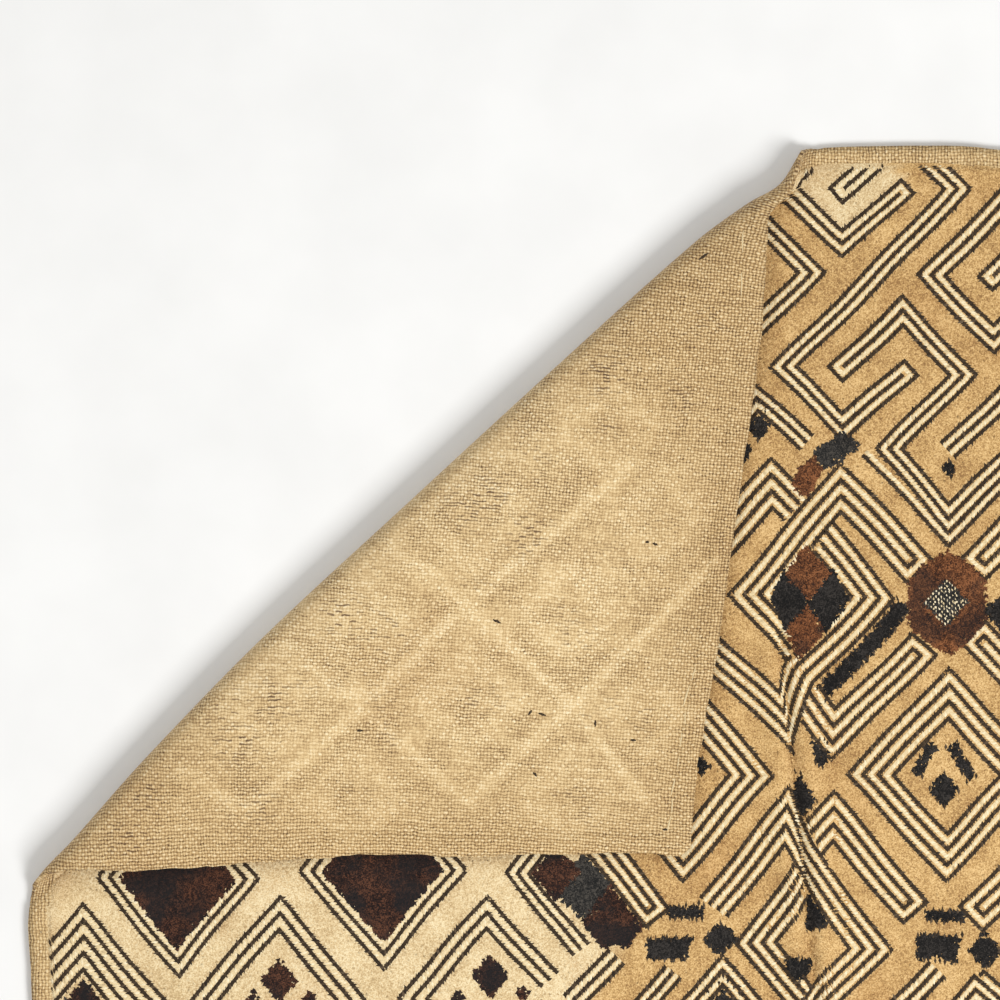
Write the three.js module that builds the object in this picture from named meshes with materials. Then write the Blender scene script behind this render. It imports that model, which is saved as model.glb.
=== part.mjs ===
// A panel of cut-pile raffia cloth that lies on a surface with one corner folded over its face.
// Millimetres, +Z up. The origin is at the middle of the footprint, on the surface that it lies on.
// The cloth is worked out flat first, as it left the loom, and then laid down and folded.
import * as THREE from "three";

// Driving dimensions
const WIDTH = 570;
const HEIGHT = 550;
const HEM = { width: 5.4, thickness: 1.6 };
const PILE = { thickness: 2.6, rise: 1.4 };

// The fold: a roll along a slanting line, whose outside is the plain back of the cloth.
const FOLD = {
  midX: -169.4, // middle of the roll's outer edge, seen from above
  midY: 162.5,
  angleDeg: 43.2, // of the roll, from +X
  outerRadius: 4.8, // of the plain back, on the outside of the roll
  neutralRadius: 4.3, // of the woven ground, which keeps its length
  restGap: 0.6, // between the two piled faces where the corner lies down
  settleRun: 75, // from the roll to where the corner lies down
};

// How the roll's outer edge wanders off its straight line: positive is towards the cloth.
const ROLL_WANDER = [
  { along: -160, off: 1.2 },
  { along: -140, off: 0.0 },
  { along: -108, off: -2.9 },
  { along: -58, off: -5.2 },
  { along: 0, off: -4.9 },
  { along: 65, off: -4.2 },
  { along: 119, off: -2.9 },
  { along: 138, off: -0.6 },
  { along: 150, off: 1.9 },
  { along: 162, off: -1.8 },
];

// The cloth's four edges before it is folded: how far each lies inside the nominal rectangle.
// A hand-woven edge is never straight.
const LEFT_EDGE = [
  { y: 262, inset: 10.5 },
  { y: 250, inset: 10.6 },
  { y: 229, inset: 8.9 },
  { y: 210, inset: 7.3 },
  { y: 196, inset: 6.0 },
  { y: 170, inset: 6.0 },
  { y: 145, inset: 4.5 },
  { y: 104, inset: 2.1 },
  { y: 68, inset: 2.5 },
  { y: 52, inset: 0.8 },
  { y: 38, inset: 0.0 },
  { y: 10, inset: 1.6 },
  { y: -80, inset: 0.8 },
  { y: -190, inset: 2.4 },
  { y: -273, inset: 4.0 },
];
const RIGHT_EDGE = [
  { y: 272, inset: 3.0 },
  { y: 150, inset: 1.0 },
  { y: 30, inset: 1.8 },
  { y: -110, inset: 0.0 },
  { y: -273, inset: 3.5 },
];
const TOP_EDGE = [
  { x: -274.5, inset: 13.5 },
  { x: -258, inset: 13.3 },
  { x: -240, inset: 12.3 },
  { x: -218, inset: 10.0 },
  { x: -142, inset: 5.6 },
  { x: -106, inset: 4.9 },
  { x: -84, inset: 7.4 },
  { x: -72, inset: 8.8 },
  { x: -63, inset: 5.0 },
  { x: -54, inset: 1.2 },
  { x: -8, inset: 0.0 },
  { x: 20, inset: 1.6 },
  { x: 130, inset: 0.8 },
  { x: 282, inset: 3.0 },
];
const BOTTOM_EDGE = [
  { x: -281, inset: 2.0 },
  { x: -150, inset: 0.6 },
  { x: 10, inset: 1.8 },
  { x: 160, inset: 0.0 },
  { x: 281.5, inset: 2.0 },
];

// A tuck that gathers the cloth along a nearly upright line: a soft trough between two low ridges.
// The ridges' places and all the spreads are shares of its half width.
const TUCK = {
  topX: -61.6,
  topY: 152,
  bottomY: -8,
  lean: -0.097, // change of x for each millimetre up
  fade: 45, // run over which it dies away at each end
  halfWidth: 7,
  ridge: { height: 1.1, at: 0.6, spread: 0.5 },
  trough: { depth: 1.2, spread: 0.3 },
};

// How the edges lift off the surface, and how the folded corner waves, in slow sine waves.
const EDGE_LIFT = { height: 1.4, run: 16, lengthX: 61, lengthY: 47, phaseX: 1.1, phaseY: 0.4 };
const CORNER_WAVE = { height: 0.9, lengthAlong: 31, lengthAcross: 44, phase: 0.7 };

// How many steps the surface has: rows run along the fold, columns across it.
const ROW_STEPS = { corner: 18, roll: 12, nearBase: 14, farBase: 14 };
const COLUMN_STEPS = { left: 12, right: 12 };
const TUCK_COLUMNS = [-7, -3.2, 0, 3.2, 7];
const OUTLINE_STEPS = 400;
const HALVINGS = 30;
// The columns' largest runs on a short row, as shares of its length.
const SHORT_ROW = { hem: 0.1, pile: 0.14, tuck: 0.1, tuckFromEnd: 0.3 };
const CORNER_BLUNT = 2.2; // how much of the two pointed corners is taken off

const COLOUR = { raffia: 0xc9a468 };

// A smooth curve through a table's rows, held level beyond its ends.
function curveThrough(rows, at, give) {
  const order = [...rows].sort((a, b) => a[at] - b[at]);
  const knots = order.map((row) => row[at]);
  const values = order.map((row) => row[give]);
  const last = knots.length - 1;
  const slopes = values.map((value, i) => {
    const before = Math.max(i - 1, 0);
    const after = Math.min(i + 1, last);
    return (values[after] - values[before]) / (knots[after] - knots[before]);
  });
  return (where) => {
    if (where <= knots[0]) return values[0];
    if (where >= knots[last]) return values[last];
    const i = knots.findIndex((knot) => knot > where) - 1;
    const span = knots[i + 1] - knots[i];
    const t = (where - knots[i]) / span;
    const start = values[i] * (1 + 2 * t) * (1 - t) ** 2 + slopes[i] * span * t * (1 - t) ** 2;
    const end = values[i + 1] * t * t * (3 - 2 * t) - slopes[i + 1] * span * t * t * (1 - t);
    return start + end;
  };
}

const leftInset = curveThrough(LEFT_EDGE, "y", "inset");
const rightInset = curveThrough(RIGHT_EDGE, "y", "inset");
const topInset = curveThrough(TOP_EDGE, "x", "inset");
const bottomInset = curveThrough(BOTTOM_EDGE, "x", "inset");
const leftX = (y) => -WIDTH / 2 + leftInset(y);
const rightX = (y) => WIDTH / 2 - rightInset(y);
const topY = (x) => HEIGHT / 2 - topInset(x);
const bottomY = (x) => -HEIGHT / 2 + bottomInset(x);
const wander = curveThrough(ROLL_WANDER, "along", "off");

const angle = THREE.MathUtils.degToRad(FOLD.angleDeg);
const ALONG = new THREE.Vector2(Math.cos(angle), Math.sin(angle));
const ACROSS = new THREE.Vector2(Math.sin(angle), -Math.cos(angle)); // towards the cloth that lies flat
const FOLD_MID = new THREE.Vector2(FOLD.midX, FOLD.midY);
const ROLL_LENGTH = Math.PI * FOLD.neutralRadius;
const CORNER_DROP = 2 * FOLD.outerRadius - 2 * PILE.thickness - FOLD.restGap;

const smooth = (from, to, value) => THREE.MathUtils.smoothstep(value, from, to);
const bell = (value) => Math.exp(-value * value);

// Where the roll starts, measured across from the fold's straight line.
const rollStart = (along) => FOLD.outerRadius + wander(along);

// A flat point's place along the fold, and how far across it lies from the roll's start.
function foldPlace(point) {
  const offset = point.clone().sub(FOLD_MID);
  const along = offset.dot(ALONG);
  return { along, across: offset.dot(ACROSS) - rollStart(along) };
}

function flatPoint(along, across) {
  return FOLD_MID.clone()
    .addScaledVector(ALONG, along)
    .addScaledVector(ACROSS, across + rollStart(along));
}

// How far a flat point lies inside the nearest edge.
function insideEdge(point) {
  return Math.min(
    point.x - leftX(point.y),
    rightX(point.y) - point.x,
    topY(point.x) - point.y,
    point.y - bottomY(point.x),
  );
}

const tuckX = (y) => TUCK.topX + (y - TUCK.topY) * TUCK.lean;

// The tuck's relief on the face: nothing beyond its two ends.
function tuckRelief(point) {
  const { ridge, trough } = TUCK;
  const started = smooth(TUCK.bottomY, TUCK.bottomY + TUCK.fade, point.y);
  const ended = smooth(TUCK.topY - TUCK.fade, TUCK.topY, point.y);
  const off = (point.x - tuckX(point.y)) / TUCK.halfWidth;
  const ridges = bell((off - ridge.at) / ridge.spread) + bell((off + ridge.at) / ridge.spread);
  return started * (1 - ended) * (ridge.height * ridges - trough.depth * bell(off / trough.spread));
}

function thickness(point) {
  const pile = smooth(HEM.width, HEM.width + PILE.rise, insideEdge(point));
  return THREE.MathUtils.lerp(HEM.thickness, PILE.thickness, pile);
}

// The lift of an edge that lies on the surface, in slow waves along it.
function edgeLift(point) {
  const near = 1 - smooth(0, EDGE_LIFT.run, insideEdge(point));
  const waveX = Math.sin(point.x / EDGE_LIFT.lengthX + EDGE_LIFT.phaseX);
  const waveY = Math.sin(point.y / EDGE_LIFT.lengthY + EDGE_LIFT.phaseY);
  return EDGE_LIFT.height * near * Math.max(waveX * waveY, 0);
}

// The back of the laid cloth at a flat point, and the direction from there to the piled face.
function laidPoint(along, across) {
  const flat = flatPoint(along, across);
  const base = flatPoint(along, 0);
  const up = new THREE.Vector3(0, 0, 1);
  const out = new THREE.Vector3(ACROSS.x, ACROSS.y, 0);
  if (across >= 0) {
    return { back: new THREE.Vector3(flat.x, flat.y, edgeLift(flat)), face: up };
  }
  const rolled = -across;
  const turn = Math.min(rolled / FOLD.neutralRadius, Math.PI);
  const face = up.clone().multiplyScalar(Math.cos(turn)).addScaledVector(out, Math.sin(turn));
  const back = new THREE.Vector3(base.x, base.y, FOLD.outerRadius).addScaledVector(face, -FOLD.outerRadius);
  const past = Math.max(rolled - ROLL_LENGTH, 0);
  const settled = smooth(0, FOLD.settleRun, past);
  const waveAlong = Math.sin(along / CORNER_WAVE.lengthAlong + CORNER_WAVE.phase);
  const waveAcross = Math.cos(past / CORNER_WAVE.lengthAcross);
  const wave = (CORNER_WAVE.height / 2) * (1 + waveAlong * waveAcross);
  back.addScaledVector(out, past);
  back.z += settled * (wave - CORNER_DROP);
  return { back, face };
}

// The cloth's outline as two chains of flat points, from the folded corner to the one opposite.
function outlineChains() {
  const share = [...Array(OUTLINE_STEPS + 1).keys()].map((i) => i / OUTLINE_STEPS);
  const between = (rows, key) => {
    const ends = rows.map((row) => row[key]);
    return (t) => THREE.MathUtils.lerp(Math.min(...ends), Math.max(...ends), t);
  };
  const yLeft = between(LEFT_EDGE, "y");
  const yRight = between(RIGHT_EDGE, "y");
  const xTop = between(TOP_EDGE, "x");
  const xBottom = between(BOTTOM_EDGE, "x");
  const left = share.map((t) => new THREE.Vector2(leftX(yLeft(1 - t)), yLeft(1 - t)));
  const bottom = share.map((t) => new THREE.Vector2(xBottom(t), bottomY(xBottom(t))));
  const top = share.map((t) => new THREE.Vector2(xTop(t), topY(xTop(t))));
  const right = share.map((t) => new THREE.Vector2(rightX(yRight(1 - t)), yRight(1 - t)));
  return {
    lower: [...left, ...bottom].map(foldPlace),
    upper: [...top, ...right].map(foldPlace),
    lowerTurn: foldPlace(left.at(-1)).across,
    upperTurn: foldPlace(right[0]).across,
  };
}

// Where a chain of the outline crosses a row.
function crossing(chain, across) {
  const after = chain.findIndex((place) => place.across >= across);
  const b = chain[Math.max(after, 1)];
  const a = chain[Math.max(after, 1) - 1];
  const share = (across - a.across) / (b.across - a.across || 1);
  return THREE.MathUtils.lerp(a.along, b.along, share);
}

// Even steps from one value towards another, without the last.
function stretch(from, to, steps) {
  return [...Array(steps).keys()].map((i) => THREE.MathUtils.lerp(from, to, i / steps));
}

// The rows: how far across the fold each one lies, from the folded corner to the one opposite.
function rowPlaces(chains) {
  const first = chains.lower[0].across + CORNER_BLUNT;
  const last = chains.lower.at(-1).across - CORNER_BLUNT;
  const turns = [chains.lowerTurn, chains.upperTurn].sort((a, b) => a - b);
  return [
    ...stretch(first, -ROLL_LENGTH, ROW_STEPS.corner),
    ...stretch(-ROLL_LENGTH, 0, ROW_STEPS.roll),
    ...stretch(0, turns[0], ROW_STEPS.nearBase),
    turns[0],
    ...stretch(turns[1], last, ROW_STEPS.farBase),
    last,
  ];
}

// Where a row crosses the line of the tuck, found by halving.
function tuckCrossing(across, from, to) {
  let low = from;
  let high = to;
  for (let i = 0; i < HALVINGS; i += 1) {
    const middle = (low + high) / 2;
    const point = flatPoint(middle, across);
    if (point.x < tuckX(point.y)) low = middle;
    else high = middle;
  }
  const keepOff = SHORT_ROW.tuckFromEnd * (to - from);
  return THREE.MathUtils.clamp(low, from + keepOff, to - keepOff);
}

// One row's places along the fold: the hem, the pile, the tuck's own columns, and back to the hem.
function columnPlaces(from, to, across) {
  const length = to - from;
  const hemRun = Math.min(HEM.width * Math.SQRT2, SHORT_ROW.hem * length);
  const pileRun = Math.min((HEM.width + PILE.rise) * Math.SQRT2, SHORT_ROW.pile * length);
  const tuck = tuckCrossing(across, from, to);
  const squeeze = Math.min(1, (SHORT_ROW.tuck * length) / TUCK.halfWidth) / ALONG.x;
  const bundle = TUCK_COLUMNS.map((off) => tuck + off * squeeze);
  return [
    from,
    from + hemRun,
    ...stretch(from + pileRun, bundle[0], COLUMN_STEPS.left),
    ...bundle.slice(0, -1),
    ...stretch(bundle.at(-1), to - pileRun, COLUMN_STEPS.right),
    to - pileRun,
    to - hemRun,
    to,
  ];
}

// The cloth as one closed surface: the face, the back and the rim that joins them.
function clothGeometry() {
  const chains = outlineChains();
  const faces = [];
  const backs = [];
  for (const across of rowPlaces(chains)) {
    const from = crossing(chains.lower, across);
    const to = crossing(chains.upper, across);
    const faceRow = [];
    const backRow = [];
    for (const along of columnPlaces(from, to, across)) {
      const flat = flatPoint(along, across);
      const { back, face } = laidPoint(along, across);
      const relief = across >= 0 ? tuckRelief(flat) : 0;
      backRow.push(back);
      faceRow.push(back.clone().addScaledVector(face, thickness(flat) + relief));
    }
    faces.push(faceRow);
    backs.push(backRow);
  }
  const rows = faces.length;
  const columns = faces[0].length;
  const points = [...faces.flat(), ...backs.flat()];
  const faceAt = (i, j) => i * columns + j;
  const backAt = (i, j) => rows * columns + i * columns + j;
  const triangles = [];
  const quad = (a, b, c, d) => triangles.push(a, b, c, a, c, d);
  for (let i = 0; i + 1 < rows; i += 1) {
    for (let j = 0; j + 1 < columns; j += 1) {
      quad(faceAt(i, j), faceAt(i + 1, j), faceAt(i + 1, j + 1), faceAt(i, j + 1));
      quad(backAt(i, j), backAt(i, j + 1), backAt(i + 1, j + 1), backAt(i + 1, j));
    }
    quad(faceAt(i, 0), backAt(i, 0), backAt(i + 1, 0), faceAt(i + 1, 0));
    const end = columns - 1;
    quad(faceAt(i, end), faceAt(i + 1, end), backAt(i + 1, end), backAt(i, end));
  }
  for (let j = 0; j + 1 < columns; j += 1) {
    quad(faceAt(0, j), faceAt(0, j + 1), backAt(0, j + 1), backAt(0, j));
    const end = rows - 1;
    quad(faceAt(end, j), backAt(end, j), backAt(end, j + 1), faceAt(end, j + 1));
  }
  const geometry = new THREE.BufferGeometry().setFromPoints(points);
  geometry.setIndex(triangles);
  geometry.computeBoundingBox();
  const centre = geometry.boundingBox.getCenter(new THREE.Vector3());
  geometry.translate(-centre.x, -centre.y, 0);
  geometry.computeVertexNormals();
  return geometry;
}

const raffia = new THREE.MeshStandardMaterial({ color: COLOUR.raffia, roughness: 0.9, metalness: 0 });
const panel = new THREE.Mesh(clothGeometry(), raffia);
panel.name = "raffia_panel";

const cloth = new THREE.Group();
cloth.name = "cut_pile_raffia_cloth";
cloth.add(panel);

export default cloth;
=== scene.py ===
"""Looks of a cut-pile raffia cloth: woven ground, stem-stitched lines, clipped pile and dyed patches."""

import math

import bpy
import numpy as np
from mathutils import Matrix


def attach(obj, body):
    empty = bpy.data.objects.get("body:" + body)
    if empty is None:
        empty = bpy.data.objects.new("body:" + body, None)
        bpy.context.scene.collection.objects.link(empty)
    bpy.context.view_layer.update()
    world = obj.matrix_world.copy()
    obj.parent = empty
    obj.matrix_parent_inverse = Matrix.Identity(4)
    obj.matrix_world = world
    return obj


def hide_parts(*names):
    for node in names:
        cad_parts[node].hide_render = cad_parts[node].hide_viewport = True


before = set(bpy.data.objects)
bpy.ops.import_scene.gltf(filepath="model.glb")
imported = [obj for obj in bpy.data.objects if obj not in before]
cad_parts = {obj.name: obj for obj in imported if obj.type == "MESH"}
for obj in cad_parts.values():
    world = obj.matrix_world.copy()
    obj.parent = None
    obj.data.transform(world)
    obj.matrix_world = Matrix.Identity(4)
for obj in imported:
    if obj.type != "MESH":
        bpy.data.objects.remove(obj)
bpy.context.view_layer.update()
rng = np.random.default_rng(7)
MM = 0.001
TINY = 1e-9

# Sizes in millimetres. The flat cloth has its middle at the origin.
WIDTH, HEIGHT = 570.0, 550.0
HEM_WIDTH, HEM_THICK = 5.4, 1.6
PILE_THICK, PILE_RISE = 2.6, 1.4
THREAD = 0.975

# The fold: the middle and the angle of its line, the roll, and how the corner settles past it.
FOLD_MID = np.array([-169.4, 162.5])
FOLD_ANGLE = math.radians(43.2)
ROLL_RADIUS, ROLL_NEUTRAL = 4.8, 4.3
REST_GAP, SETTLE_RUN = 0.6, 75.0
CORNER_BLUNT = 2.2
CORNER_WAVE = {"half": 0.45, "along": 31.0, "past": 44.0, "phase": 0.7}
EDGE_LIFT = {"height": 1.4, "run": 16.0, "wave_x": 61.0, "phase_x": 1.1, "wave_y": 47.0, "phase_y": 0.4}

# The tuck: a trough with a pinched middle between two ridges. Places and spreads are in half widths.
TUCK_TOP, TUCK_BOTTOM = (-61.6, 152.0), -8.0
TUCK_LEAN, TUCK_FADE, TUCK_HALF = -0.097, 45.0, 7.0
TUCK_RIDGE = {"height": 1.1, "at": 0.6, "spread": 0.5}
TUCK_TROUGH = {"depth": 1.2, "spread": 0.3}
TUCK_PINCH = {"depth": 0.6, "spread": 0.11}

# How the roll's line bows: a place along the fold, and how far the line lies off it there.
ROLL_WANDER = [(-160, 1.2), (-140, 0), (-108, -2.9), (-58, -5.2), (0, -4.9), (65, -4.2), (119, -2.9),
               (138, -0.6), (150, 1.9), (162, -1.8)]
# The cloth's edges: a place along the edge, and how far the cloth lies inside its nominal size there.
LEFT_EDGE = [(262, 10.5), (250, 10.6), (229, 8.9), (210, 7.3), (196, 6.0), (170, 6.0), (145, 4.5), (104, 2.1),
             (68, 2.5), (52, 0.8), (38, 0.0), (10, 1.6), (-80, 0.8), (-190, 2.4), (-273, 4.0)]
RIGHT_EDGE = [(272, 3.0), (150, 1.0), (30, 1.8), (-110, 0.0), (-273, 3.5)]
TOP_EDGE = [(-274.5, 13.5), (-258, 13.3), (-240, 12.3), (-218, 10.0), (-142, 5.6), (-106, 4.9), (-84, 7.4),
            (-72, 8.8), (-63, 5.0), (-54, 1.2), (-8, 0.0), (20, 1.6), (130, 0.8), (282, 3.0)]
BOTTOM_EDGE = [(-281, 2.0), (-150, 0.6), (10, 1.8), (160, 0.0), (281.5, 2.0)]

ALONG = np.array([math.cos(FOLD_ANGLE), math.sin(FOLD_ANGLE)])
ACROSS = np.array([math.sin(FOLD_ANGLE), -math.cos(FOLD_ANGLE)])
ROLL_LENGTH = math.pi * ROLL_NEUTRAL
CORNER_DROP = 2 * ROLL_RADIUS - 2 * PILE_THICK - REST_GAP


def curve(table):
    """A smooth curve through the table's rows, level beyond its ends."""
    rows = np.array(sorted(table), float)
    key, value = rows[:, 0], rows[:, 1]
    before = np.maximum(np.arange(len(key)) - 1, 0)
    after = np.minimum(np.arange(len(key)) + 1, len(key) - 1)
    slope = (value[after] - value[before]) / (key[after] - key[before])

    def at(x):
        x = np.clip(np.asarray(x, float), key[0], key[-1])
        i = np.clip(np.searchsorted(key, x, side="right") - 1, 0, len(key) - 2)
        run = key[i + 1] - key[i]
        u = (x - key[i]) / run
        return (value[i] * (1 + 2 * u) * (1 - u) ** 2 + slope[i] * run * u * (1 - u) ** 2
                + value[i + 1] * u * u * (3 - 2 * u) - slope[i + 1] * run * u * u * (1 - u))

    return at


wander = curve(ROLL_WANDER)
left_in, right_in, top_in, bottom_in = (curve(t) for t in (LEFT_EDGE, RIGHT_EDGE, TOP_EDGE, BOTTOM_EDGE))


def smooth(a, b, x):
    """A soft step from 0 at a to 1 at b."""
    t = np.clip((x - a) / (b - a), 0, 1)
    return t * t * (3 - 2 * t)


def bell(x):
    return np.exp(-x * x)


def left_side(y):
    return np.stack([-WIDTH / 2 + left_in(y), y], 1)


def top_side(x):
    return np.stack([x, HEIGHT / 2 - top_in(x)], 1)


def inside_edge(p):
    """How far flat points lie inside the nearest edge."""
    x, y = p[..., 0], p[..., 1]
    return np.minimum(np.minimum(x + WIDTH / 2 - left_in(y), WIDTH / 2 - right_in(y) - x),
                      np.minimum(HEIGHT / 2 - top_in(x) - y, y + HEIGHT / 2 - bottom_in(x)))


def roll_start(along):
    return ROLL_RADIUS + wander(along)


def fold_place(p):
    """Where flat points lie along the fold and across it. The roll starts at 0 and runs to less."""
    d = p - FOLD_MID
    along = d @ ALONG
    return along, d @ ACROSS - roll_start(along)


def flat_point(along, across):
    return FOLD_MID + along[..., None] * ALONG + (across + roll_start(along))[..., None] * ACROSS


def tuck_x(y):
    return TUCK_TOP[0] + (y - TUCK_TOP[1]) * TUCK_LEAN


def tuck_strength(y):
    begun = smooth(TUCK_BOTTOM, TUCK_BOTTOM + TUCK_FADE, y)
    return begun * (1 - smooth(TUCK_TOP[1] - TUCK_FADE, TUCK_TOP[1], y))


def tuck_relief(p):
    off = (p[..., 0] - tuck_x(p[..., 1])) / TUCK_HALF
    ridges = sum(bell((off + side * TUCK_RIDGE["at"]) / TUCK_RIDGE["spread"]) for side in (-1, 1))
    dips = sum(dip["depth"] * bell(off / dip["spread"]) for dip in (TUCK_TROUGH, TUCK_PINCH))
    return tuck_strength(p[..., 1]) * (TUCK_RIDGE["height"] * ridges - dips)


def thickness(p):
    return HEM_THICK + (PILE_THICK - HEM_THICK) * smooth(HEM_WIDTH, HEM_WIDTH + PILE_RISE, inside_edge(p))


def corner_wave(along, past):
    wave = np.sin(along / CORNER_WAVE["along"] + CORNER_WAVE["phase"]) * np.cos(past / CORNER_WAVE["past"])
    return CORNER_WAVE["half"] * (1 + wave)


def edge_lift(p):
    near = 1 - smooth(0, EDGE_LIFT["run"], inside_edge(p))
    wave_x = np.sin(p[:, 0] / EDGE_LIFT["wave_x"] + EDGE_LIFT["phase_x"])
    wave_y = np.sin(p[:, 1] / EDGE_LIFT["wave_y"] + EDGE_LIFT["phase_y"])
    return EDGE_LIFT["height"] * near * np.maximum(wave_x * wave_y, 0)


def laid(p):
    """The cloth's back at flat points, and the direction from there to the face."""
    along, across = fold_place(p)
    rolled = np.maximum(-across, 0)
    turn = np.minimum(rolled / ROLL_NEUTRAL, math.pi)
    past = np.maximum(rolled - ROLL_LENGTH, 0)
    sine, cosine = np.sin(turn), np.cos(turn)
    xy = flat_point(along, np.maximum(across, 0)) + (past - ROLL_RADIUS * sine)[:, None] * ACROSS
    settled = smooth(0, SETTLE_RUN, past) * (corner_wave(along, past) - CORNER_DROP)
    z = ROLL_RADIUS * (1 - cosine) + settled + edge_lift(p) * (across >= 0)
    normal = np.stack([sine * ACROSS[0], sine * ACROSS[1], cosine], 1)
    return np.concatenate([xy, z[:, None]], 1), normal


def on_face(p, above):
    """Points above (or below) the pile's nominal top, on the laid cloth."""
    back, normal = laid(p)
    _, across = fold_place(p)
    height = thickness(p) + np.where(across >= 0, tuck_relief(p), 0) + above
    return back + normal * height[:, None]


def on_back(p, above):
    """Points outside (or inside) the back of the laid cloth."""
    back, normal = laid(p)
    return back - normal * np.broadcast_to(above, len(p))[:, None]


def mesh_object(name, verts, polys, materials, values=None, index=None, uv=None):
    """An object from arrays: points in millimetres, faces with equal numbers of corners, values by point."""
    verts, polys = np.asarray(verts, np.float32), np.asarray(polys, np.int32)
    mesh = bpy.data.meshes.new(name)
    mesh.vertices.add(len(verts))
    mesh.vertices.foreach_set("co", (verts * MM).ravel())
    mesh.loops.add(polys.size)
    mesh.loops.foreach_set("vertex_index", polys.ravel())
    mesh.polygons.add(len(polys))
    mesh.polygons.foreach_set("loop_start", np.arange(0, polys.size, polys.shape[1], dtype=np.int32))
    mesh.polygons.foreach_set("use_smooth", np.full(len(polys), True))
    for material in materials:
        mesh.materials.append(material)
    if index is not None:
        mesh.polygons.foreach_set("material_index", np.asarray(index, np.int32))
    for key, value in (values or {}).items():
        mesh.attributes.new(key, "FLOAT", "POINT").data.foreach_set("value", np.asarray(value, np.float32))
    if uv is not None:
        layer = mesh.uv_layers.new(name="flat")
        layer.data.foreach_set("uv", np.asarray(uv, np.float32)[polys.ravel()].ravel())
    mesh.update(calc_edges=True)
    mesh.validate()
    made = bpy.data.objects.new(name, mesh)
    bpy.context.scene.collection.objects.link(made)
    return made


class Shader:
    """A procedural material put together from a few kinds of node."""

    SPECULAR = 0.2

    def __init__(self, name, roughness, sheen=0.0):
        self.material = bpy.data.materials.new(name)
        self.material.use_nodes = True
        self.tree = self.material.node_tree
        self.bsdf = self.tree.nodes["Principled BSDF"]
        self.bsdf.inputs["Roughness"].default_value = roughness
        self.bsdf.inputs["Specular IOR Level"].default_value = self.SPECULAR
        self.bsdf.inputs["Sheen Weight"].default_value = sheen

    def put(self, socket, value):
        if isinstance(value, bpy.types.NodeSocket):
            self.tree.links.new(value, socket)
        else:
            socket.default_value = value

    def node(self, kind, values, out=0, **props):
        made = self.tree.nodes.new(kind)
        for key, value in props.items():
            setattr(made, key, value)
        for key, value in values.items():
            self.put(made.inputs[key], value)
        return made.outputs[out]

    def math(self, op, a, b=0.0):
        return self.node("ShaderNodeMath", {0: a, 1: b}, operation=op)

    def add(self, a, b):
        return self.math("ADD", a, b)

    def less(self, a, b):
        return self.math("SUBTRACT", a, b)

    def times(self, a, b):
        return self.math("MULTIPLY", a, b)

    def largest(self, a, b):
        return self.math("MAXIMUM", a, b)

    def vec(self, op, a, b=(0, 0, 0)):
        return self.node("ShaderNodeVectorMath", {0: a, 1: b}, operation=op)

    def scaled(self, vector, factor):
        return self.vec("MULTIPLY", vector, (factor,) * 3)

    def noise(self, vector, scale, detail=2.0, out="Fac"):
        return self.node("ShaderNodeTexNoise", {"Vector": vector, "Scale": scale, "Detail": detail}, out=out)

    def cell_noise(self, vector):
        """A random value for each whole step of the first two coordinates."""
        return self.node("ShaderNodeTexWhiteNoise", {0: self.vec("FLOOR", vector)}, noise_dimensions="2D")

    def ramp(self, factor, stops):
        made = self.tree.nodes.new("ShaderNodeValToRGB")
        points = made.color_ramp.elements
        while len(points) < len(stops):
            points.new(0.5)
        for point, (place, colour) in zip(points, stops):
            point.position = place
            point.color = (*colour, 1)
        self.put(made.inputs[0], factor)
        return made.outputs[0]

    def range(self, value, low, high, to_low=0.0, to_high=1.0):
        return self.node("ShaderNodeMapRange", {0: value, 1: low, 2: high, 3: to_low, 4: to_high})

    def mix(self, factor, a, b, blend="MIX"):
        """Two colours mixed. A mix node's colour sockets are its inputs 6 and 7 and its output 2."""
        made = self.tree.nodes.new("ShaderNodeMix")
        made.data_type = "RGBA"
        made.blend_type = blend
        self.put(made.inputs[0], factor)
        for socket, value in ((made.inputs[6], a), (made.inputs[7], b)):
            self.put(socket, value if isinstance(value, bpy.types.NodeSocket) else (*value, 1))
        return made.outputs[2]

    def tint(self, factor, colour, by):
        return self.mix(factor, colour, by, "MULTIPLY")

    def attribute(self, name):
        return self.node("ShaderNodeAttribute", {}, out="Fac", attribute_name=name)

    def flat_mm(self):
        """Millimetres on the flat cloth."""
        return self.scaled(self.node("ShaderNodeUVMap", {}, uv_map="flat"), 1 / MM)

    def place(self):
        return self.node("ShaderNodeTexCoord", {}, out="Object")

    def place_mm(self):
        return self.scaled(self.place(), 1 / MM)

    def finish(self, colour, height=None, depth=0.0, strength=1.0):
        self.put(self.bsdf.inputs["Base Color"], colour)
        if height is not None:
            values = {"Height": height, "Distance": depth * MM, "Strength": strength}
            self.put(self.bsdf.inputs["Normal"], self.node("ShaderNodeBump", values))
        return self.material


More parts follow.
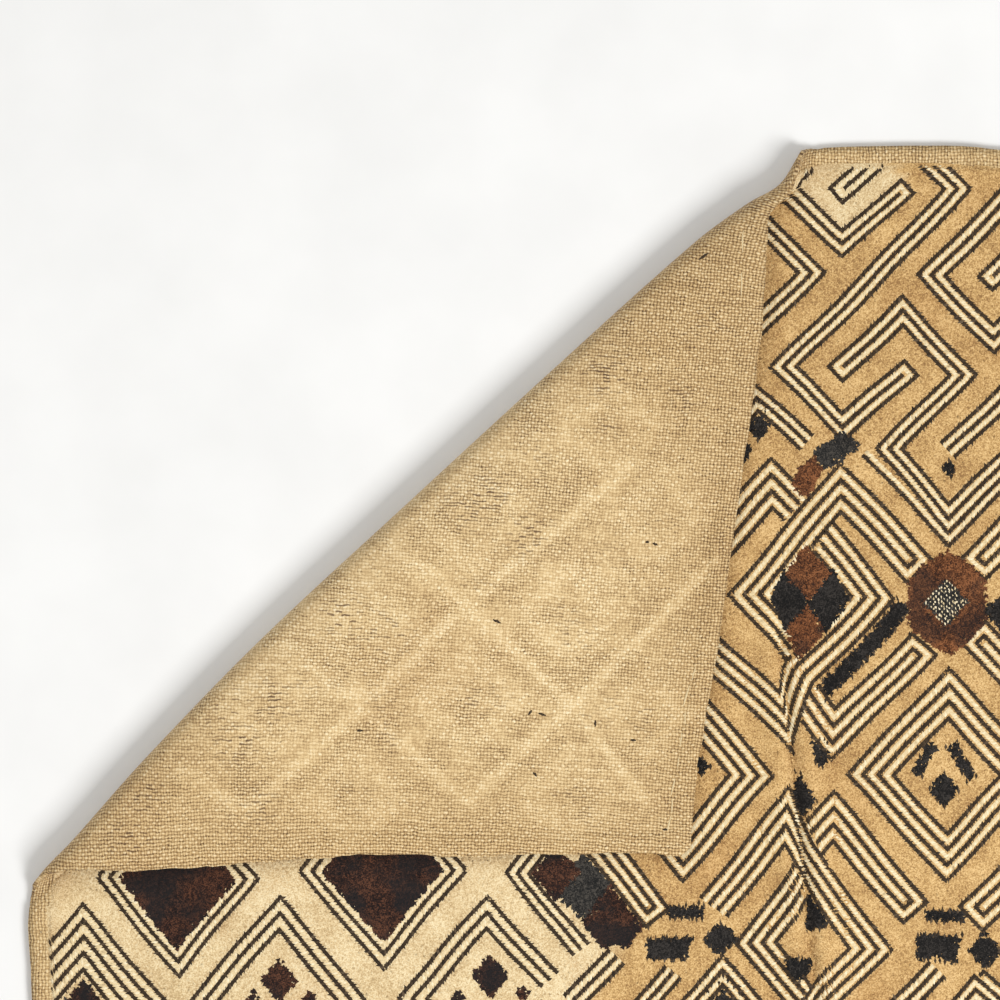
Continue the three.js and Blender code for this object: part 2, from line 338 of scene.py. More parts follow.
# The weave: how round the threads are and how far they pass over, how often each noise changes in a
# millimetre, and its colours. The numbers of a range say where it starts and ends, and what it gives there.
WEFT, WARP = {"round": 0.68, "over": 0.3}, {"round": 0.4, "over": 0.34}
WEAVE_NOISE = {"slow": 0.045, "quick": 0.45, "grain": 1.3, "crispness": 0.075, "ghost_highlight": 0.3, "spots": 0.05,
               "stain": 0.019, "speck": 0.5}
THREAD_DRIFT = {"slow": 2.2, "quick": 1.1}
WEAVE_TONES = [(0.0, (0.29, 0.18, 0.08)), (0.32, (0.54, 0.37, 0.175)), (0.60, (0.73, 0.54, 0.28)),
               (1.0, (0.94, 0.79, 0.52))]
WEAVE_LEVEL, MID_HEIGHT = 0.53, 0.6
TONE_SHARES = {"crossing": 0.26, "weft": 0.14, "grain": 0.62}
GAP_SHADE_TONE, DASH_TONE, SPECK_TONE = (0.14, 0.078, 0.032), (0.10, 0.05, 0.025), (0.10, 0.06, 0.035)
WEAVE_STAIN, EDGE_TINT, ROLL_TINT = (0.66, 0.48, 0.32), (0.88, 0.83, 0.76), (0.84, 0.84, 0.86)


def thread_runs(s, threads, stretch, shift):
    """A random value for each short run of the gap between two weft threads."""
    runs = s.vec("ADD", s.vec("MULTIPLY", threads, (1.0, stretch, 1.0)), (0.5, shift, 0.0))
    return s.cell_noise(runs)


def woven_material():
    """Plain weave: round threads over and under with painted highlights on their crowns and painted shade in
    their gaps, dark dashes between them, crisper patches and stains.
    """
    s = Shader("woven raffia", roughness=0.62, sheen=0.1)
    mm = s.flat_mm()
    threads = s.scaled(mm, 1 / THREAD)
    for kind, reach in THREAD_DRIFT.items():
        drift = s.vec("SUBTRACT", s.noise(mm, WEAVE_NOISE[kind], out="Color"), (0.5, 0.5, 0.5))
        threads = s.vec("ADD", threads, s.scaled(drift, reach))
    v, u = (s.node("ShaderNodeSeparateXYZ", {0: threads}, out=axis) for axis in ("X", "Y"))

    # Height: each thread rises where it passes over another, with a notch between the crossings.
    wave_u, wave_v = (s.math("SINE", s.times(way, math.pi)) for way in (u, v))
    size_u, size_v = s.math("ABSOLUTE", wave_u), s.math("ABSOLUTE", wave_v)
    cross = s.times(wave_u, wave_v)
    weft = s.add(s.times(size_v, WEFT["round"]), s.times(cross, WEFT["over"]))
    warp = s.less(s.times(size_u, WARP["round"]), s.times(cross, WARP["over"]))
    notch = s.times(s.less(1.0, size_u), size_v)
    height = s.less(s.largest(weft, warp), s.times(notch, s.attribute("square")))

    # Tone: painted highlights on the thread crowns and painted shade in their lows, crisper in noisy patches
    # and near the edges, calmer on the faint bands of the back, which get a painted highlight.
    plain = s.range(s.attribute("ghost"), 0.0, 0.6, 1.0, 0.4)
    crisp_patches = s.range(s.noise(mm, WEAVE_NOISE["crispness"], 4), 0.36, 0.70)
    crisp = s.times(s.largest(crisp_patches, s.attribute("edge")), plain)
    # Painted light: the colour follows the threads' height, lighter on their crowns and darker in their lows.
    level = s.times(s.less(height, MID_HEIGHT), s.add(s.times(crisp, 0.7), 0.36))
    weft_tone = s.node("ShaderNodeTexWhiteNoise", {1: s.math("FLOOR", v)}, noise_dimensions="1D")
    grain = s.noise(mm, WEAVE_NOISE["grain"], 3)
    parts = {"crossing": s.cell_noise(threads), "weft": weft_tone, "grain": grain}
    for kind, part in parts.items():
        level = s.add(level, s.times(s.less(part, 0.5), TONE_SHARES[kind]))
    ghost_highlight = s.range(s.noise(mm, WEAVE_NOISE["ghost_highlight"], 3), 0.3, 0.7, 0.10, 0.36)
    # Painted highlight on the faint bands of the back, and painted shade on their flanks.
    level = s.add(s.add(level, WEAVE_LEVEL), s.times(s.attribute("ghost"), ghost_highlight))
    colour = s.ramp(level, WEAVE_TONES)

    # Painted shade in the gaps between the threads, and groups of darker dashes.
    run = thread_runs(s, threads, 0.55, 0.0)
    share = s.add(s.times(crisp, s.range(run, 0.3, 1.0, 0.16, 0.86)), 0.07)
    share = s.add(share, s.times(s.range(run, 0.84, 0.97, 0.0, 0.5), plain))
    # Painted shade where the threads lie low.
    colour = s.mix(s.times(s.range(height, 0.46, 0.12), share), colour, GAP_SHADE_TONE)
    spots = s.times(s.range(s.noise(mm, WEAVE_NOISE["spots"], 4), 0.55, 0.68), 0.7)
    dash = s.range(thread_runs(s, threads, 0.46, 0.37), 0.5, 0.85)
    dash = s.times(dash, s.largest(s.attribute("dashes"), spots))
    dash = s.times(dash, s.range(size_v, 0.9, 0.5))
    colour = s.mix(s.times(dash, 0.92), colour, DASH_TONE)

    # Stains, the soiled edge, the shaded roll and small specks.
    stain = s.range(s.noise(mm, WEAVE_NOISE["stain"], 5), 0.54, 0.76, 0.0, 0.24)
    colour = s.tint(stain, colour, WEAVE_STAIN)
    colour = s.tint(s.attribute("edge"), colour, EDGE_TINT)
    colour = s.tint(s.attribute("roll"), colour, ROLL_TINT)
    speck = s.range(s.noise(mm, WEAVE_NOISE["speck"]), 0.75, 0.79)
    colour = s.mix(s.times(speck, 0.55), colour, SPECK_TONE)
    return s.finish(colour, s.add(level, s.times(height, 0.6)), depth=0.2, strength=0.75)


PILE_NOISE = {"grain": 2.4, "mottle": 0.11, "dusk": 0.095, "stain": 0.03}
PILE_STOPS = (0.25, 0.5, 0.72)
PILE_STAIN, BESIDE_SHADE_TINT, DUSK_TONE = (0.66, 0.50, 0.36), (0.58, 0.50, 0.42), (0.011, 0.011, 0.012)


def pile_material(name, tones, tone_share=0.0, other=None, sheen=0.2, dusk=None):
    """Clipped pile: fine mottled grain in three tones, with soft soiling and, on the tan pile, painted shade
    beside the bands, the folded corner and the tuck.
    """
    s = Shader(name, roughness=0.85, sheen=sheen)
    mm = s.place_mm()
    fine = s.noise(mm, PILE_NOISE["grain"], 3)
    level = s.add(s.times(fine, 1.3), s.times(s.noise(mm, PILE_NOISE["mottle"], 3), 0.5))
    level = s.less(level, 0.4)
    if tone_share:
        level = s.add(level, s.times(s.less(s.attribute("tone"), 0.5), tone_share))
    colour = s.ramp(level, list(zip(PILE_STOPS, tones)))
    if other:
        colour = s.mix(s.attribute("cream"), colour, s.ramp(level, list(zip(PILE_STOPS, other))))
        # Painted shade next to the bands and shapes, beside the folded corner and in the tuck.
        colour = s.tint(s.attribute("beside"), colour, BESIDE_SHADE_TINT)
    if dusk:
        colour = s.mix(s.range(s.noise(mm, PILE_NOISE["dusk"], 3), 0.46, 0.60, 0.0, dusk), colour, DUSK_TONE)
    stain = s.range(s.noise(mm, PILE_NOISE["stain"], 4), 0.54, 0.72, 0.0, 0.4)
    return s.finish(s.tint(stain, colour, PILE_STAIN), fine, depth=0.25, strength=0.7)


STREAK_NOISE = 2.2


def strand_material(name, low, mid, high):
    """Split raffia strands: each stitch has its own tone, with fine streaks."""
    s = Shader(name, roughness=0.6, sheen=0.02)
    streak = s.noise(s.place_mm(), STREAK_NOISE)
    level = s.add(s.times(s.attribute("tone"), 0.6), s.times(streak, 0.4))
    colour = s.ramp(level, [(0.15, low), (0.5, mid), (0.85, high)])
    return s.finish(colour, streak, depth=0.1, strength=0.5)


# Colours of the piles and strands: low, middle and high tone.
TAN = ((0.295, 0.158, 0.058), (0.54, 0.333, 0.126), (0.765, 0.52, 0.237))
CREAM = ((0.50, 0.347, 0.17), (0.715, 0.543, 0.298), (0.85, 0.71, 0.45))
BLACK = ((0.004, 0.004, 0.004), (0.012, 0.010, 0.009), (0.038, 0.033, 0.029))
STRAND = ((0.014, 0.008, 0.004), (0.040, 0.0235, 0.010), (0.13, 0.09, 0.053))
BROWN = ((0.007, 0.004, 0.004), (0.034, 0.014, 0.009), (0.115, 0.046, 0.024))
UMBER = ((0.024, 0.009, 0.005), (0.115, 0.040, 0.014), (0.27, 0.105, 0.04))
SLATE = ((0.008, 0.008, 0.008), (0.024, 0.022, 0.020), (0.07, 0.062, 0.052))
LIGHT = ((0.22, 0.14, 0.065), (0.72, 0.57, 0.325), (0.90, 0.79, 0.55))
DARKS = [("black", BLACK, None), ("brown", BROWN, 0.75), ("umber", UMBER, 0.5), ("slate", SLATE, None)]

woven = woven_material()
pile = pile_material("pile ground", TAN, other=CREAM)
tuft_pile = pile_material("pile tufts", TAN, tone_share=0.26, other=CREAM)
strands = {"b": strand_material("black strands", *STRAND), "c": strand_material("cream strands", *LIGHT)}
dark_piles = {name: pile_material(f"{name} pile", tones, tone_share=0.4, sheen=0.02, dusk=dusk)
              for name, tones, dusk in DARKS}

# The chart of the pattern, in squares of 3 mm counted right and down from a corner outside the cloth.
SQUARE = 3.0
CHART_LEFT, CHART_TOP = -293.4, 318.5


def charted(points):
    p = np.asarray(points, float) * SQUARE
    return np.stack([CHART_LEFT + p[:, 0], CHART_TOP - p[:, 1]], 1)


def chart_place(p):
    return (p[:, 0] - CHART_LEFT) / SQUARE, (CHART_TOP - p[:, 1]) / SQUARE


def band(lines, path, pitch=3.3, caps="", closed=False, under=()):
    return {"lines": lines, "path": path, "pitch": pitch, "caps": caps, "closed": closed, "under": under}


def lozenge(x, y, half_x, half_y):
    return [(x, y - half_y), (x + half_x, y), (x, y + half_y), (x - half_x, y)]


# Bands of lines: b is black and c is cream, from the left of the direction of travel. A capped end is closed
# round. Segments named as under pass beneath the other bands.
BANDS = [
    band("bcbcb", [(81.9, 14.8), (78.2, 18.6), (84.3, 24.2), (90.7, 18.7)], 2.9, "end"),
    band("bcbcb", [(83.6, 19.4), (88.4, 15.0)], 2.9, "start"),
    band("bcbcb", [(92.0, 15.2), (95.9, 19.1), (78.6, 36.8), (84.3, 42.7), (91.0, 36.6)], 2.9, "end"),
    band("bcbcb", [(83.8, 37.5), (90.3, 31.0), (96.1, 37.4), (89.0, 44.8), (94.9, 51.8), (104.6, 42.1)],
         2.9, "start"),
    band("cb", [(86.4, 45.2), (94.9, 54.2), (104.6, 44.5)], 2.9),
    band("bcbcb", [(104.6, 16.2), (93.3, 27.5), (99.4, 33.9), (104.6, 28.6)], 2.9),
    band("bcbcb", [(98.6, 28.2), (104.6, 22.2)], 2.9, "start"),
    band("bcbcb", [(74.5, 20.8), (81.1, 27.1), (71.5, 37.2)], 2.9),
    band("bcbcb", [(70.5, 46.3), (75.7, 39.9), (80.6, 44.4)], 2.8),
    band("bcbcb", [(94.9, 45.0), (104.6, 35.3)], 2.9),
    band("bcbcbcb", [(92.1, 57.1), (84.0, 48.7), (75.0, 59.2), (80.9, 65.6)], 3.3, "start", under=(2,)),
    band("bcbcbcb", [(70.5, 55.6), (77.2, 48.4), (81.2, 52.2), (87.3, 59.8), (80.4, 67.2), (78.5, 72.2),
                     (66.0, 60.2)], 3.3, under=(0, 1)),
    band("bcbcbcb", [(80.6, 68.6), (83.7, 73.4), (92.4, 64.6)], 3.3, "end", under=(0,)),
    band("bcbcbcb", lozenge(94.8, 77.6, 7.6, 8.1), 3.3, closed=True),
    band("bcbcbcb", lozenge(68.2, 77.6, 6.8, 8.1), 3.1, closed=True),
    band("bcbcbcb", [(71.2, 90.8), (78.4, 81.6), (80.4, 85.6), (87.2, 95.0), (80.4, 102.0)], 3.2),
    band("bcbcbcb", [(81.2, 84.8), (83.7, 81.8), (91.8, 91.3)], 3.2, "end"),
    band("bcbcbcb", [(80.4, 87.2), (75.4, 94.5), (80.6, 100.2)], 2.9),
    band("bcbcb", [(66.0, 104.0), (72.2, 97.2), (78.4, 104.0)], 2.9),
    band("bcbcb", [(61.4, 104.0), (67.2, 97.2)], 2.9),
    band("bcbcb", [(87.6, 103.4), (93.8, 96.9)], 2.9),
    band("bcbcb", [(92.0, 105.0), (97.6, 98.9), (103.6, 105.0)], 2.9),
    band("bcbc", lozenge(17.8, 87.9, 6.9, 8.7), 2.9, closed=True),
    band("bcbc", lozenge(38.2, 87.3, 7.4, 8.7), 2.9, closed=True),
    band("bcbcb", [(58.1, 95.1), (51.8, 87.2), (56.5, 81.5)], 2.7),
    band("bcbcbcb", [(60.1, 84.3), (65.8, 91.7)], 2.9, "end"),
    band("bcbcbcbcb", [(0.5, 103.0), (8.3, 93.8), (17.0, 104.2), (8.3, 114.6), (0.5, 105.4)], 3.1),
    band("bcbcb", lozenge(27.8, 101.7, 8.7, 10.3), 3.1, closed=True),
    band("bcbcb", [(55.1, 98.2), (48.8, 91.2), (41.2, 99.8), (48.6, 108.2), (55.1, 101.0)], 3.1),
    band("bcbcb", [(57.2, 100.4), (61.6, 95.6)], 2.9),
]
# Dyed patches of pile: colour, middle, half width and half height of a lozenge. Earlier ones lie over later
# ones.
PATCHES = [
    ("brown", 17.8, 87.9, 5.8, 7.2),
    ("brown", 38.2, 87.3, 6.3, 7.1), ("brown", 55.4, 87.0, 2.9, 3.2), ("brown", 61.4, 92.3, 3.2, 4.1),
    ("slate", 58.7, 88.8, 3.4, 3.6), ("slate", 6.6, 101.6, 1.6, 1.8), ("brown", 8.4, 103.4, 4.6, 5.4),
    ("brown", 28.0, 98.0, 1.8, 2.1), ("brown", 49.1, 97.6, 1.9, 2.2), ("brown", 45.7, 99.8, 0.8, 0.8),
    ("brown", 52.3, 99.5, 0.8, 0.8), ("brown", 25.3, 99.9, 0.7, 0.8), ("brown", 31.1, 99.9, 0.7, 0.8),
    ("black", 75.8, 42.3, 1.6, 2.2), ("black", 95.1, 46.9, 0.8, 1.1), ("black", 94.5, 78.8, 1.6, 1.9),
    ("black", 70.2, 76.8, 0.9, 1.1),
    ("black", 72.0, 94.1, 1.8, 1.9), ("black", 98.8, 95.0, 1.8, 1.9), ("black", 72.2, 99.4, 1.7, 1.7),
    ("black", 74.4, 45.2, 1.0, 1.4),
]
# Strokes and blocks of pile: colour, corners. The first ones lie over the bands.
HEXAGON = [(0, -5.3), (2.3, -3.9), (3.9, -2.0), (3.9, 2.0), (2.3, 3.9), (0, 5.3), (-2.3, 3.9), (-3.9, 2.0),
           (-3.9, -2.0), (-2.3, -3.9)]
HEXAGON_MID = (2.3, 2.5)


def checked_hexagon(x, y):
    return [("checked", lozenge(x, y, *HEXAGON_MID)), ("umber", [(x + dx, y + dy) for dx, dy in HEXAGON])]


OVER_BANDS = [
    *checked_hexagon(94.8, 60.4),
    ("slate", [(84.4, 43.0), (86.0, 44.5), (82.4, 47.0), (81.2, 45.2)]),
    ("umber", [(81.4, 45.6), (82.2, 47.2), (80.6, 49.6), (79.3, 48.8), (79.6, 47.2)]),
    ("umber", [(80.5, 54.4), (83.1, 57.3), (80.8, 60.1), (78.3, 57.3)]),
    ("black", [(78.2, 56.5), (81.3, 59.9), (78.7, 63.2), (76.7, 59.6)]),
    ("black", [(83.2, 56.7), (85.0, 60.0), (82.7, 63.6), (80.1, 59.9)]),
    ("umber", [(80.7, 59.7), (82.8, 63.1), (80.4, 66.0), (78.4, 62.4)]),
    ("black", [(66.8, 90.4), (70.5, 90.4), (70.3, 91.9), (66.9, 91.8)]),
    ("black", [(92.8, 91.0), (97.0, 91.1), (96.8, 92.2), (92.9, 92.1)]),
    ("black", [(78.0, 95.9), (81.3, 95.7), (81.0, 97.0), (79.7, 98.2), (78.6, 97.4)]),
]
BLOCKS = [
    ("black", [(90.0, 59.8), (91.3, 61.0), (83.2, 70.0), (82.1, 68.6)]),
    ("black", [(100.0, 59.9), (98.4, 61.3), (106.0, 69.9), (107.4, 68.4)]),
    ("black", [(92.9, 74.2), (93.9, 74.6), (92.3, 77.7), (91.3, 77.2)]),
    ("black", [(94.7, 74.6), (95.7, 74.1), (97.9, 77.6), (96.9, 78.1)]),
    ("black", [(79.4, 75.0), (79.7, 75.0), (79.8, 77.2), (79.5, 77.2)]),
    ("black", [(80.3, 77.2), (82.1, 80.4), (79.8, 82.9), (79.4, 79.5)]),
    ("black", [(81.4, 73.5), (83.5, 74.0), (82.7, 77.0), (81.8, 76.3)]),
    ("black", [(80.4, 87.4), (83.5, 92.5), (80.2, 93.3)]),
    ("black", [(64.5, 93.7), (69.4, 93.6), (68.6, 96.0), (64.7, 95.9)]),
    ("black", [(91.6, 93.5), (96.5, 93.4), (95.8, 96.3), (91.9, 96.1)]),
]

# The repeats that finish the rest of the face: lozenges on the left, knots, hexagons and lozenges on the
# right, and at the top the bands with the numbers in MIRRORED, turned over.
CHARTED_RIGHT, CHARTED_BOTTOM, ZONE = 104.6, 104.6, 60.0
DIAPER = {"x": 17.8, "y": 101.7, "step_x": 20.4, "step_y": 27.4, "half_x": 8.6, "half_y": 10.3, "pitch": 3.1,
          "patch": (2.4, 2.8), "end_y": 194, "off_zone": 6}
MIRRORED = (0, 1, 2, 3, 4, 5, 6, 9)
KNOT = {"x": 81.0, "y": 60.2, "step_x": 27.6, "step_y": 34.8, "pitch": 3.3, "off_charted": 6, "off_zone": 8}
KNOT_ROUTE = [(11.2, -3.2), (2.9, -11.6), (-6.4, 0), (2.9, 11.6), (11.2, 3.2)]
KNOT_PATCHES = [("umber", 0, -2.5, 2.1, 2.6), ("umber", 0, 2.5, 2.1, 2.6), ("black", -2.0, 0, 2.2, 2.8),
                ("black", 2.0, 0, 2.2, 2.8)]
KNOT_ROWS, KNOT_COLUMNS = range(-1, 5), range(-1, 5)
FIRST_TOP_COLUMN = 2
FILLER_OFF_ZONE = 5
BETWEEN_REPEATS = [(125.5, 47.0), (81.6, 109.4)]


def add_diaper():
    row = 0
    y = DIAPER["y"] + DIAPER["step_y"] / 2
    while y < DIAPER["end_y"]:
        x = DIAPER["x"] - DIAPER["step_x"] / 2 * (row % 2)
        while x < ZONE - DIAPER["off_zone"]:
            path = lozenge(x, y, DIAPER["half_x"], DIAPER["half_y"])
            BANDS.append(band("bcbcb", path, DIAPER["pitch"], closed=True))
            PATCHES.append(("brown", x, y, *DIAPER["patch"]))
            x += DIAPER["step_x"]
        y += DIAPER["step_y"] / 2
        row += 1


def add_mirrored():
    for k in MIRRORED:
        path = [(2 * CHARTED_RIGHT - x, y) for x, y in BANDS[k]["path"]]
        BANDS.append(dict(BANDS[k], path=path, lines=BANDS[k]["lines"][::-1]))


def add_knot(x, y):
    for side, under in ((1, (2, 3)), (-1, (0, 1))):
        path = [(x + side * dx, y + dy) for dx, dy in KNOT_ROUTE]
        BANDS.append(band("bcbcbcb", path, KNOT["pitch"], "both", under=under))
    PATCHES.extend((colour, x + dx, y + dy, *halves) for colour, dx, dy, *halves in KNOT_PATCHES)


def add_lozenge(lines, x, y, halves, pitch, patch):
    BANDS.append(band(lines, lozenge(x, y, *halves), pitch, closed=True))
    PATCHES.append(("black", x, y, *patch))


def to_fill(x, y):
    return (x > CHARTED_RIGHT or y > CHARTED_BOTTOM) and x > ZONE + FILLER_OFF_ZONE


def add_knots():
    """Knots in rows, with a hexagon to the right of each and a lozenge below that."""
    for i in KNOT_COLUMNS:
        for j in KNOT_ROWS:
            if j < 0 and i < FIRST_TOP_COLUMN:
                continue
            x, y = KNOT["x"] + i * KNOT["step_x"], KNOT["y"] + j * KNOT["step_y"]
            is_charted = x < CHARTED_RIGHT - KNOT["off_charted"] and y < CHARTED_BOTTOM
            if not is_charted and x > ZONE + KNOT["off_zone"]:
                add_knot(x, y)
            x += KNOT["step_x"] / 2
            if to_fill(x, y):
                OVER_BANDS.extend(checked_hexagon(x, y))
            y += KNOT["step_y"] / 2
            if to_fill(x, y):
                add_lozenge("bcbcbcb", x, y, halves=(7.6, 8.1), pitch=KNOT["pitch"], patch=(1.5, 1.8))


add_diaper()
add_mirrored()
add_knots()
for x, y in BETWEEN_REPEATS:
    add_lozenge("bcbcb", x, y, halves=(4.8, 5.2), pitch=2.9, patch=(1.3, 1.5))

# Faint bands and lozenges of the pattern on the back of the folded corner, drawn as painted highlights with
# painted shade on the bands' flanks, charted where they lie, and the middles of its groups of dark dashes. A
# lozenge has its middle and its half width.
BACK_BANDS = [
    [(18.0, 77.0), (24.7, 81.0), (36.2, 70.7), (46.5, 60.5), (56.5, 52.2), (63.0, 46.5)],
    [(28.7, 64.5), (36.2, 70.7), (46.7, 80.2)],
    [(38.5, 53.7), (46.5, 60.5), (57.2, 70.5), (64.5, 80.0)],
    [(46.7, 80.2), (57.2, 70.5), (66.7, 61.0), (71.5, 56.0)],
]
BACK_LOZENGES = [(47.0, 70.0, 4.8), (56.7, 61.2, 4.5), (47.0, 51.5, 5.2), (36.5, 63.5, 4.8),
                 (27.5, 70.5, 4.8), (64.5, 71.5, 4.0), (57.0, 79.5, 4.5), (35.5, 79.5, 4.5),
                 (61.0, 43.0, 4.5), (66.0, 51.5, 4.0)]
BACK_DASHES = [(24.0, 74.2), (22.0, 70.4), (27.5, 70.0), (34.5, 61.5), (38.5, 63.5), (14.0, 79.2),
               (13.0, 84.0), (46.5, 51.0), (49.0, 49.5), (53.0, 53.5), (60.5, 37.5)]


def segment_distance(p, a, b):
    d = b - a
    t = np.clip(((p - a) @ d) / max(d @ d, TINY), 0, 1)
    return np.linalg.norm(p - a - t[..., None] * d, axis=-1)


WOBBLE_SLOW, WOBBLE_QUICK = 0.45, 0.38
GATHER, GATHER_NEAR, GATHER_FAR = 1.9, 2.9, 16.0


def hand_drawn(p):
    """Charted points as worked by hand: a wobble in long and short waves, and gathered towards the tuck."""
    x, y = p[:, 0], p[:, 1]
    # A place is divided by the millimetres for one radian of a wave, and a phase is added.
    dx = WOBBLE_SLOW * np.sin(x / 21 + 1.3) * np.cos(y / 17 + 0.2)
    dx += WOBBLE_QUICK * np.sin(y / 7.5 + x / 12)
    dy = WOBBLE_SLOW * np.cos(x / 18 + 0.4) * np.sin(y / 22 + 2.0)
    dy += WOBBLE_QUICK * np.sin(x / 8.1 - y / 11 + 1.0)
    off = x - tuck_x(y)
    far = np.abs(off)
    pulled = GATHER * np.sign(off) * (1 - np.exp(-far / GATHER_NEAR)) * np.exp(-far / GATHER_FAR)
    return np.stack([x + dx - pulled * tuck_strength(y), y + dy], 1)


HEM_CLEAR, ROLL_CLEAR, COVER_CLEAR, CORNER_REACH = 0.5, 1, 5, 200


def shown(p):
    """Where the face can be seen: inside the hem, and neither under the folded corner nor on its own face."""
    along, across = fold_place(p)
    above = inside_edge(flat_point(along, -across - ROLL_LENGTH)) > COVER_CLEAR
    covered = (across < CORNER_REACH) & above
    return (inside_edge(p) > HEM_WIDTH + HEM_CLEAR) & (across > -ROLL_CLEAR) & ~covered


# A fine grid over the flat cloth holds the number of the band or shape that took each cell first.
CELL, SPARE_CELLS = 0.5, 4
GRID_SHAPE = tuple(int(size / CELL) + SPARE_CELLS for size in (HEIGHT, WIDTH))
owner = np.zeros(GRID_SHAPE, np.int32)


def cells(p):
    col = np.clip(((p[:, 0] + WIDTH / 2) / CELL).astype(int), 0, GRID_SHAPE[1] - 1)
    row = np.clip(((p[:, 1] + HEIGHT / 2) / CELL).astype(int), 0, GRID_SHAPE[0] - 1)
    return row, col


def window(points, margin):
    """The part of the grid round some points, and the middles of its cells."""
    low, high = points.min(0) - margin, points.max(0) + margin
    c0, c1 = (int(np.clip((v + WIDTH / 2) / CELL, 0, GRID_SHAPE[1])) for v in (low[0], high[0]))
    r0, r1 = (int(np.clip((v + HEIGHT / 2) / CELL, 0, GRID_SHAPE[0])) for v in (low[1], high[1]))
    x = (np.arange(c0, c1) + 0.5) * CELL - WIDTH / 2
    y = (np.arange(r0, r1) + 0.5) * CELL - HEIGHT / 2
    return (slice(r0, r1), slice(c0, c1)), np.stack(np.meshgrid(x, y), -1)


def take_cells(path, half, number):
    for a, b in zip(path[:-1], path[1:]):
        part, centre = window(np.stack([a, b]), half)
        free = (segment_distance(centre, a, b) < half) & (owner[part] == 0)
        owner[part][free] = number


MITRE_LEAST, SHORTEN_MOST, NEAR_MIDDLE = 0.3, 0.8, 0.1


def offset_path(path, off, closed):
    """A path beside another, to its left where off is above 0. A closed one ends at its first point."""
    step = np.diff(np.vstack([path, path[:1]]) if closed else path, axis=0)
    step = step / np.linalg.norm(step, axis=1)[:, None]
    left = np.stack([-step[:, 1], step[:, 0]], 1)
    before = np.roll(left, 1, 0) if closed else np.vstack([left[:1], left])
    after = left if closed else np.vstack([left, left[-1:]])
    mitre = (before + after) / np.maximum(1 + (before * after).sum(1), MITRE_LEAST)[:, None]
    made = path + off * mitre
    return np.vstack([made, made[:1]]) if closed else made


def shorten(path, start, end):
    path = path.copy()
    for i, j, run in ((0, 1, start), (-1, -2, end)):
        d = path[j] - path[i]
        length = np.linalg.norm(d)
        path[i] = path[i] + d / length * min(run, SHORTEN_MOST * length)
    return path


STITCH_STEP = 1.05
BLACK_SLANT, CREAM_SLANT = 56, 50
BED_STEP = 2.1
BED_HALF = {"b": 0.52, "c": 0.58}
BAND_MARGIN = 0.9
gathered = {"b": [], "c": []}
beds = {"b": [], "c": []}


def walk(path, step):
    """Places along a path, with directions and the number of the segment."""
    places, ways, segments = [], [], []
    for k, (a, b) in enumerate(zip(path[:-1], path[1:])):
        length = np.linalg.norm(b - a)
        count = max(int(round(length / step)), 1)
        t = (np.arange(count) + 0.5) / count
        places.append(a + t[:, None] * (b - a))
        ways.append(np.repeat(((b - a) / max(length, TINY))[None], count, 0))
        segments.append(np.full(count, k))
    return np.concatenate(places), np.concatenate(ways), np.concatenate(segments)


def strand_tracks(item, path, half):
    """Each line of a band: its kind, its middle and two sides, and the band's segment for each of its own."""
    closed, count = item["closed"], len(path) - (0 if item["closed"] else 1)
    start, end = item["caps"] in ("start", "both"), item["caps"] in ("end", "both")
    for k, kind in enumerate(item["lines"]):
        off = half - k * item["pitch"] / 2
        inset = half - abs(off)
        base, ids, ring, shift = path, list(range(count)), closed, off
        if (start or end) and abs(off) < NEAR_MIDDLE:
            base = shorten(path, half * start, half * end)
        elif start or end:
            if off < 0:
                continue
            shift = 0
            one, two = (shorten(offset_path(path, w, False), inset * start, inset * end) for w in (off, -off))
            ring = start and end
            if start:
                base, ids = np.vstack([two[::-1], one]), ids[::-1] + [0] + ids + [count - 1] * ring
            else:
                base, ids = np.vstack([one, two[::-1]]), ids + [count - 1] + ids[::-1]
        yield kind, [offset_path(base, shift + w, ring) for w in (0, BED_HALF[kind], -BED_HALF[kind])], ids


def work_band(number, item, layer):
    """Lays a band's stitches and beds on free cells: layer 0 is what lies over, layer 1 what passes under."""
    path = charted(item["path"])
    count = len(path) - (0 if item["closed"] else 1)
    wanted = [k for k in range(count) if (k in item["under"]) == bool(layer)]
    half = (len(item["lines"]) - 1) * item["pitch"] / 4
    for kind, (line, *sides), ids in strand_tracks(item, path, half):
        chosen = np.flatnonzero(np.isin(ids, wanted))
        for k in chosen:
            steps = max(int(np.linalg.norm(sides[0][k + 1] - sides[0][k]) / BED_STEP), 1)
            t = np.linspace(0, 1, steps + 1)[:, None]
            edges = np.stack([side[k] + t * (side[k + 1] - side[k]) for side in sides], 1)
            held = owner[cells((edges[1:] + edges[:-1]).mean(1) / 2)]
            beds[kind].append((edges, (held == 0) | (held == number)))
        place, way, segment = walk(line, STITCH_STEP)
        held = owner[cells(place)]
        keep = np.isin(segment, chosen) & ((held == 0) | (held == number))
        gathered[kind].append((hand_drawn(place[keep]), way[keep]))
    closed_path = np.vstack([path, path[:1]])
    for k in wanted:
        take_cells(closed_path[k:k + 2], half + BAND_MARGIN, number)


def inside_polygon(p, corners):
    x, y = p[..., 0], p[..., 1]
    within = np.zeros(x.shape, bool)
    for (x0, y0), (x1, y1) in zip(corners, np.roll(corners, -1, 0)):
        crossed = (y0 > y) != (y1 > y)
        within ^= crossed & (x < (x1 - x0) * (y - y0) / ((y1 - y0) or TINY) + x0)
    return within


DARK_STEP_X, DARK_STEP_Y = 0.7, 0.7 * 0.8
DARK_JITTER, DARK_SPREAD = 0.16, 0.3
CHECK_STEP, CHECK_WAY = 0.8, (0.6, 0.8)
PATCH_CELL = 1.2
dark_places = {colour: [] for colour in dark_piles}
dark_beds = {colour: [] for colour in dark_piles}


